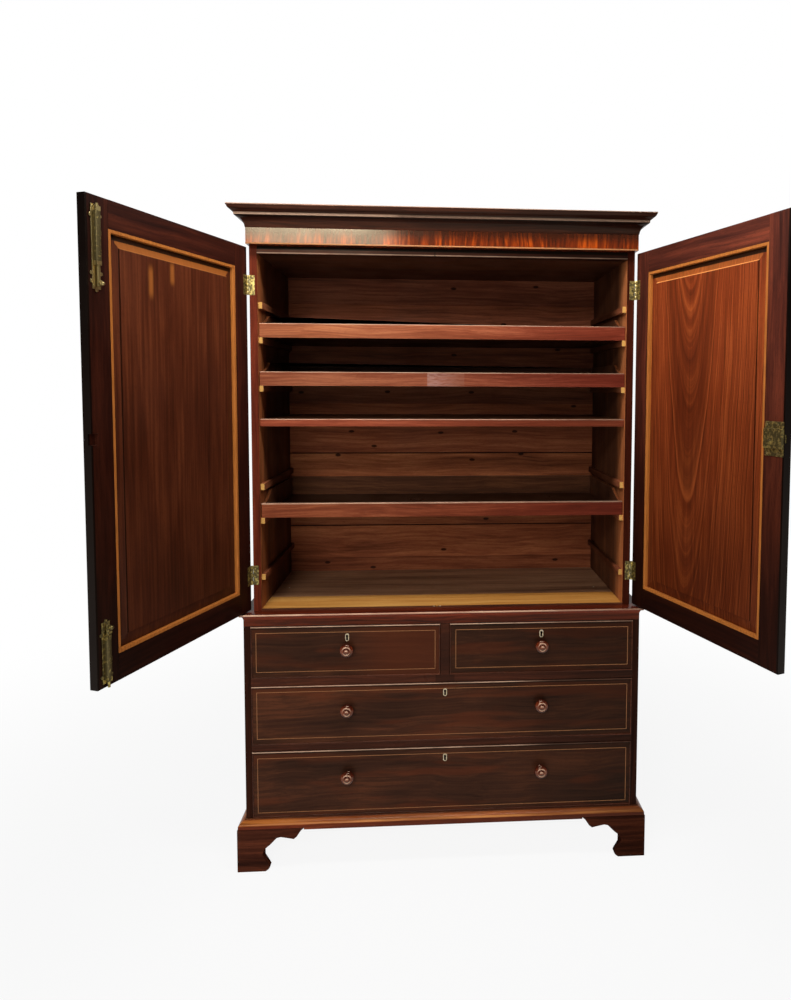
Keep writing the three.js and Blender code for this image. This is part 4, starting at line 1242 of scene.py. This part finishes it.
class LINENPRESS_OT_stringing(bpy.types.Operator):
    """Let in the pale lines, and lay the frieze's veneer and the plinth's strip"""

    bl_idname = "linen_press.stringing"
    bl_label = "Stringing"

    def execute(self, context):
        sizes = context.scene.linen_press_sizes
        material = polished("stringing", pale_wood, "line", 0.002, shine=0.3)
        for drawer, (foot, top) in LINE_INSETS.items():
            lowest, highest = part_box(f"drawer_{drawer}_front")
            side = sizes.line_inset_side
            near = side if drawer != "top_right" else side + 0.002
            bm = bmesh.new()
            hoop(
                bm, (lowest.x + near, lowest.z + foot), (highest.x - side, highest.z - top),
                sizes.line_width, FRONT + 0.0006, FRONT - sizes.line_proud,
            )
            placed_piece(bm, f"stringing_{drawer}", material, f"drawer_{drawer}")
        self.frieze(material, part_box("cornice")[0].z, sizes.frieze_line)
        self.plinth_strip(sizes)
        return {"FINISHED"}

    def frieze(self, material, foot, height):
        """The line along the frieze's front and ends, and the veneer above it."""
        face = FRONT + 0.002
        proud = 0.0006
        line_out = FRIEZE_OUT + proud
        bm = bmesh.new()
        bar(
            bm, (-line_out, face - proud, foot), (line_out, face + 0.001, foot + height), 0.0003,
        )
        for side in (-1, 1):
            ends = sorted((side * (FRIEZE_OUT - 0.001), side * line_out))
            bar(bm, (ends[0], face, foot), (ends[1], CASE_BACK, foot + height), 0.0003)
        placed_piece(bm, "stringing_frieze", material, "case")
        veneered = polished(
            "frieze veneer", veneer, 0.008, 0.15, 1.956, rough=0.12, shine=0.85, bump=0.03,
            tint=(1.0, 0.82, 0.54, 1.0),
        )
        sheet_out = FRIEZE_OUT + 0.0002
        bm = bmesh.new()
        bar(
            bm, (-sheet_out, face - 0.0004, foot + height), (sheet_out, face + 0.001, FRIEZE_TOP),
        )
        placed_piece(bm, "frieze_veneer", veneered, "case")

    def plinth_strip(self, sizes):
        """A strip under the plinth moulding, from one front foot to the other."""
        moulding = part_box("plinth_moulding")[0]
        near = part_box("foot_front_left")[1].x
        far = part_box("foot_front_right")[0].x
        front = moulding.y + 0.0008
        bm = bmesh.new()
        bar(
            bm, (near, front, moulding.z - sizes.plinth_strip),
            (far, front + 0.014, moulding.z), sizes.arris,
        )
        material = bpy.data.materials["plinth mahogany"]
        placed_piece(bm, "plinth_strip", material, "case")


class LINENPRESS_OT_keyholes(bpy.types.Operator):
    """Set a bone keyhole plate in each drawer and in the right door"""

    bl_idname = "linen_press.keyholes"
    bl_label = "Keyhole plates"

    def execute(self, context):
        sizes = context.scene.linen_press_sizes
        stops = ((0.4, tinted("bone", 0.8, 0.72, 0.55)), (0.62, shade("bone")))
        bone = polished("bone", mottled, 160.0, 3.0, *stops, rough=0.3, shine=0.4)
        for drawer, (x, z) in KEYHOLES.items():
            place = Matrix.Translation((x, FRONT, z))
            self.keyhole(sizes, bone, drawer, f"drawer_{drawer}", "drawer_mahogany", place)
        along, up = DOOR_KEYHOLE
        place = door_place(1) @ Matrix.Translation((along, DOOR_OUTER, up))
        self.keyhole(sizes, bone, "door", "door_right", "door_mahogany", place)
        return {"FINISHED"}

    def keyhole(self, sizes, bone, name, body, slot, place):
        bm = bmesh.new()
        self.plate(bm, sizes)
        placed_piece(bm, f"keyhole_plate_{name}", bone, body, place)
        bm = bmesh.new()
        self.hole(bm)
        placed_piece(bm, f"keyhole_{name}", keyhole_dark(), body, place)

    def plate(self, bm, sizes):
        """A rounded plate standing up, its face towards -Y at zero."""
        low = (-sizes.plate_width / 2, -0.0004, -sizes.plate_height / 2)
        high = (sizes.plate_width / 2, 0.0008, sizes.plate_height / 2)
        bar(bm, low, high)
        standing = [
            edge for edge in bm.edges
            if abs(edge.verts[0].co.y - edge.verts[1].co.y) > 0.0005
        ]
        round_edges(bm, standing, sizes.plate_width * 0.47, 6)

    def hole(self, bm):
        """The keyhole's round head and slot, a dark sheet of painted shade a hair in front of the
        plate.
        """
        head = 0.0041
        bmesh.ops.create_cone(
            bm, cap_ends=True, segments=24, radius1=head, radius2=head, depth=0.0009,
            matrix=Matrix.Translation((0, -0.0001, 0.0042)) @ OUTWARD,
        )
        bar(bm, (-0.0030, -0.00055, -0.0092), (0.0030, 0.0003, 0.0042))


class LINENPRESS_OT_knobs(bpy.types.Operator):
    """Turn the six drawer knobs"""

    bl_idname = "linen_press.knobs"
    bl_label = "Knobs"

    def execute(self, context):
        sizes = context.scene.linen_press_sizes
        material = polished("knob mahogany", turned_timber, rough=0.14, shine=0.6, bump=0.03)
        shape = [(out * sizes.knob_radius, up * sizes.knob_reach) for out, up in KNOB_PROFILE]
        for name in sorted(cad_nodes):
            if not name.startswith("knob_"):
                continue
            lowest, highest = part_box(name)
            middle = ((lowest.x + highest.x) / 2, FRONT, (lowest.z + highest.z) / 2)
            row, word = name.split("_")[1:]
            body = f"drawer_top_{word}" if row == "top" else f"drawer_{row}"
            bm = bmesh.new()
            turning(bm, shape, Matrix.Translation(middle) @ OUTWARD, 40)
            piece = placed_piece(bm, f"turned_{name}", material, body)
            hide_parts(name)
        return {"FINISHED"}


class LINENPRESS_OT_hinges(bpy.types.Operator):
    """Add the hinges' knuckles and screws"""

    bl_idname = "linen_press.hinges"
    bl_label = "Hinge knuckles and screws"

    def execute(self, context):
        radius = context.scene.linen_press_sizes.screw_radius
        for word, side in SIDES.items():
            for row in ("bottom", "top"):
                lowest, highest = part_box(f"hinge_case_leaf_{word}_{row}")
                material = fittings_brass("dull brass" if row == "bottom" else "brass")
                self.knuckles(material, word, side, row, lowest.z, highest.z)
                self.screws(word, side, row, (lowest.z + highest.z) / 2, radius)
        return {"FINISHED"}

    def knuckles(self, material, word, side, row, low, high):
        """Five knuckles, the odd ones on the case's leaf and the even ones on the door's."""
        step = (high - low) / 5
        place = Matrix.Translation((side * PIN_OUT, PIN_BACK, 0))
        for body, turns in (("case", (0, 2, 4)), (f"door_{word}", (1, 3))):
            bm = bmesh.new()
            for turn in turns:
                foot = low + turn * step + KNUCKLE_GAP
                top = low + (turn + 1) * step - KNUCKLE_GAP
                profile = (
                    (0, foot), (0.0037, foot), (KNUCKLE, foot + 0.0005), (KNUCKLE, top - 0.0005),
                    (0.0037, top), (0, top),
                )
                add_turning(bm, profile, place, 20)
            placed_piece(bm, f"knuckles_{word}_{row}_{body}", material, body)

    def screws(self, word, side, row, middle, radius):
        for body in ("case", f"door_{word}"):
            heads = bmesh.new()
            slots = bmesh.new()
            for step, (across, up) in enumerate(HINGE_SCREWS):
                if body == "case":
                    spot = (side * (CASE_LEAF_OUT - across), CASE_LEAF_FACE, middle + up)
                    place = Matrix.Translation(spot) @ OUTWARD
                else:
                    spot = (DOOR_LEAF_NEAR + across, -0.0002, middle + up)
                    place = door_place(side) @ Matrix.Translation(spot) @ INWARD
                screw(heads, place, radius, 0.0001)
                slot_cut(slots, place, radius, 0.5 + step * 1.1, 0.0001)
            name = f"{word}_{row}_{body}"
            placed_piece(
                heads, f"hinge_screws_{name}", fittings_brass("casing brass"), body,
            )
            placed_piece(slots, f"hinge_slots_{name}", keyhole_dark(), body)


class LINENPRESS_OT_bolts(bpy.types.Operator):
    """Dress the bolts and the lock with scrolls, casings, grips, a boss and screws"""

    bl_idname = "linen_press.bolts"
    bl_label = "Bolts and lock"

    def execute(self, context):
        sizes = context.scene.linen_press_sizes
        for row, shape in BOLTS.items():
            self.bolt(sizes, row, *shape)
        self.lock(sizes)
        return {"FINISHED"}

    def bolt(self, sizes, row, brass, lobes, tip, grip, ends):
        material = fittings_brass(brass)
        place = door_place(-1)
        scroll = (sizes.scroll_radius, -0.0002, 0.0024)
        bm = bmesh.new()
        for up in lobes:
            for out in (-SCROLL_OUT, SCROLL_OUT):
                disc(bm, BOLT_ALONG + out, up, *scroll)
        disc(bm, BOLT_ALONG, tip, *scroll)
        placed_piece(bm, f"bolt_scrolls_{row}", material, "door_left", place)
        bm = bmesh.new()
        self.casing(bm, sizes, ends)
        cover = fittings_brass("casing brass")
        placed_piece(bm, f"bolt_casing_{row}", cover, "door_left", place)
        bm = bmesh.new()
        grip_place = Matrix.Translation((BOLT_ALONG, GRIP_FOOT, grip)) @ INWARD
        turning(bm, GRIP_PROFILE, grip_place, 20)
        placed_piece(bm, f"bolt_grip_{row}", material, f"bolt_{row}", place)
        lowest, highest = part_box(f"bolt_plate_{row}")
        spots = [
            (BOLT_ALONG + out, up, 0.4 + step)
            for step, up in enumerate((lowest.z + BOLT_SCREW_IN, highest.z - BOLT_SCREW_IN))
            for out in (-BOLT_SCREW_OUT, BOLT_SCREW_OUT)
        ]
        self.screws(f"bolt_{{}}_{row}", material, spots, BOLT_SCREW, "door_left", place)

    def casing(self, bm, sizes, ends):
        """A rounded channel over the rod, open at its ends and towards the plate."""
        half = sizes.casing_width / 2
        bar(
            bm, (BOLT_ALONG - half, 0.0016, ends[0]),
            (BOLT_ALONG + half, sizes.casing_rise, ends[1]),
        )
        bm.normal_update()
        gone = [face for face in bm.faces if abs(face.normal.z) > 0.9 or face.normal.y < -0.9]
        bmesh.ops.delete(bm, geom=gone, context="FACES")
        folds = [edge for edge in bm.edges if len(edge.link_faces) == 2]
        round_edges(bm, folds, 0.0022, 3)
        bmesh.ops.recalc_face_normals(bm, faces=bm.faces)
        bmesh.ops.solidify(bm, geom=list(bm.faces), thickness=0.0006)

    def lock(self, sizes):
        place = door_place(1)
        bm = bmesh.new()
        for shape in BOSS_DISCS:
            disc(bm, *LOCK_BOSS, *shape)
        placed_piece(bm, "lock_boss", fittings_brass("dull brass"), "door_right", place)
        spots = [(*spot, 0.3 + step * 0.9) for step, spot in enumerate(LOCK_SCREWS)]
        radius = sizes.screw_radius
        self.screws("lock_{}", fittings_brass(), spots, radius, "door_right", place)

    def screws(self, name, material, spots, radius, body, place):
        """Heads and slots on a door's plate, each spot along, up and with its slot's tilt."""
        heads = bmesh.new()
        slots = bmesh.new()
        for along, up, tilt in spots:
            spot = Matrix.Translation((along, PLATE_FACE, up)) @ INWARD
            screw(heads, spot, radius)
            slot_cut(slots, spot, radius, tilt)
        placed_piece(heads, name.format("screws"), material, body, place)
        placed_piece(slots, name.format("slots"), keyhole_dark(), body, place)


class LINENPRESS_OT_nails(bpy.types.Operator):
    """Drive the nails that show in the cupboard's floor"""

    bl_idname = "linen_press.nails"
    bl_label = "Nails"

    def execute(self, context):
        radius = context.scene.linen_press_sizes.nail_radius
        stops = ((0.3, tinted("nail", 0.6)), (0.5, shade("nail")))
        material = polished("nail heads", mottled, 400.0, 2.0, *stops, rough=0.3, shine=0.6)
        bm = bmesh.new()
        for x, y in FLOOR_NAILS:
            screw(bm, Matrix.Translation((x, FRONT + y, FLOOR_TOP)), radius)
        placed_piece(bm, "floor_nails", material, "case")
        return {"FINISHED"}


class LINENPRESS_OT_studio(bpy.types.Operator):
    """Set the camera, the lamps and the pale floor"""

    bl_idname = "linen_press.studio"
    bl_label = "Studio"

    def execute(self, context):
        self.camera(context)
        self.floor(context)
        self.world(context)
        for name, shape in LAMPS.items():
            self.lamp(context, name, *shape)
        bpy.data.objects["soft panel"].visible_glossy = False
        context.scene.view_settings.view_transform = "Standard"
        return {"FINISHED"}

    def camera(self, context):
        yaw = math.radians(3.80)
        pitch = math.radians(3.14)
        roll = math.radians(0.24)
        forward = Vector((
            math.sin(yaw) * math.cos(pitch), math.cos(yaw) * math.cos(pitch), -math.sin(pitch),
        ))
        level = Vector((math.cos(yaw), -math.sin(yaw), 0))
        upright = level.cross(forward)
        pose = Matrix.Identity(4)
        pose.col[0][:3] = math.cos(roll) * level + math.sin(roll) * upright
        pose.col[1][:3] = -math.sin(roll) * level + math.cos(roll) * upright
        pose.col[2][:3] = -forward
        pose.col[3][:3] = (-0.0367, -2.0790, 1.5109)
        data = bpy.data.cameras.new("camera")
        data.sensor_fit = "VERTICAL"
        data.sensor_width = 36
        data.sensor_height = 36
        data.lens = 24.367
        data.shift_x = -0.08305
        data.shift_y = -0.0731
        camera = bpy.data.objects.new("camera", data)
        camera.matrix_world = pose
        context.scene.collection.objects.link(camera)
        context.scene.camera = camera

    def seen(self, tree):
        """1 for rays that look at the background, and 1 for those that mirror it."""
        looking = larger(
            node(tree, "ShaderNodeLightPath", output="Is Camera Ray"),
            node(tree, "ShaderNodeLightPath", output="Is Transmission Ray"),
        )
        return looking, node(tree, "ShaderNodeLightPath", output="Is Glossy Ray")

    def floor(self, context):
        bm = bmesh.new()
        bmesh.ops.create_grid(bm, x_segments=1, y_segments=1, size=14)
        mesh = bpy.data.meshes.new("floor")
        bm.to_mesh(mesh)
        bm.free()
        ground = bpy.data.objects.new("floor", mesh)
        context.scene.collection.objects.link(ground)
        material = new_material("studio floor")
        tree = material.node_tree
        matt = node(tree, "ShaderNodeBsdfDiffuse", {"Color": shade("studio")})
        glow = node(tree, "ShaderNodeEmission", {"Color": (1, 1, 1, 1), "Strength": 1.0})
        looking, mirroring = self.seen(tree)
        away = node(
            tree, "ShaderNodeVectorMath", {0: own_place(tree)}, "Value", operation="LENGTH",
        )
        share = larger(looking, mirroring) * remap(away, 0.8, 3.2, 0.9, 1.0)
        both = node(tree, "ShaderNodeMixShader", {0: share, 1: matt, 2: glow})
        node(tree, "ShaderNodeOutputMaterial", {"Surface": both})
        mesh.materials.append(material)

    def world(self, context):
        """White where it is looked at, mirrored more strongly behind, and a dim fill."""
        world = bpy.data.worlds.new("studio")
        context.scene.world = world
        world.use_nodes = True
        tree = world.node_tree
        tree.nodes.clear()
        looking, mirroring = self.seen(tree)
        ahead = node(tree, "ShaderNodeTexCoord", output="Generated")["Y"]
        mirrored = mirroring * remap(ahead, -0.35, 0.55, 0.10, 0.6)
        strength = larger(looking, mirrored)
        level = remap(larger(looking, mirroring), 0.0, 1.0, 0.12, strength, "LINEAR")
        sky = node(tree, "ShaderNodeBackground", {"Color": (1, 1, 1, 1), "Strength": level})
        node(tree, "ShaderNodeOutputWorld", {"Surface": sky})

    def lamp(self, context, name, place, target, width, height, power):
        data = bpy.data.lights.new(name, "AREA")
        data.shape = "RECTANGLE"
        data.size = width
        data.size_y = height
        data.energy = power
        lamp = bpy.data.objects.new(name, data)
        aim = (Vector(target) - Vector(place)).to_track_quat("-Z", "Y").to_matrix().to_4x4()
        lamp.matrix_world = Matrix.Translation(place) @ aim
        context.scene.collection.objects.link(lamp)


class LINENPRESS_PT_panel(bpy.types.Panel):
    bl_idname = "LINENPRESS_PT_panel"
    bl_label = "Linen Press"
    bl_space_type = "VIEW_3D"
    bl_region_type = "UI"
    bl_category = "Linen Press"

    def draw(self, context):
        layout = self.layout
        for operator in OPERATORS:
            layout.operator(operator.bl_idname)
        for group in (context.scene.linen_press_sizes, context.scene.linen_press_colours):
            column = layout.column(align=True)
            for name in group.bl_rna.properties.keys():
                if name not in ("rna_type", "name"):
                    column.prop(group, name)


OPERATORS = (
    LINENPRESS_OT_studio,
    LINENPRESS_OT_timber,
    LINENPRESS_OT_brass,
    LINENPRESS_OT_panels,
    LINENPRESS_OT_beads,
    LINENPRESS_OT_cockbeads,
    LINENPRESS_OT_stringing,
    LINENPRESS_OT_keyholes,
    LINENPRESS_OT_knobs,
    LINENPRESS_OT_hinges,
    LINENPRESS_OT_bolts,
    LINENPRESS_OT_nails,
)
CLASSES = (LinenPressSizes, LinenPressColours, *OPERATORS, LINENPRESS_PT_panel)


def register():
    for item in CLASSES:
        bpy.utils.register_class(item)
    bpy.types.Scene.linen_press_sizes = bpy.props.PointerProperty(type=LinenPressSizes)
    bpy.types.Scene.linen_press_colours = bpy.props.PointerProperty(type=LinenPressColours)


def unregister():
    del bpy.types.Scene.linen_press_colours
    del bpy.types.Scene.linen_press_sizes
    for item in reversed(CLASSES):
        bpy.utils.unregister_class(item)


def main():
    register()
    bpy.ops.linen_press.studio()
    bpy.ops.linen_press.timber()
    bpy.ops.linen_press.brass()
    bpy.ops.linen_press.panels()
    bpy.ops.linen_press.beads()
    bpy.ops.linen_press.cockbeads()
    bpy.ops.linen_press.stringing()
    bpy.ops.linen_press.keyholes()
    bpy.ops.linen_press.knobs()
    bpy.ops.linen_press.hinges()
    bpy.ops.linen_press.bolts()
    bpy.ops.linen_press.nails()


if __name__ == "__main__":
    main()
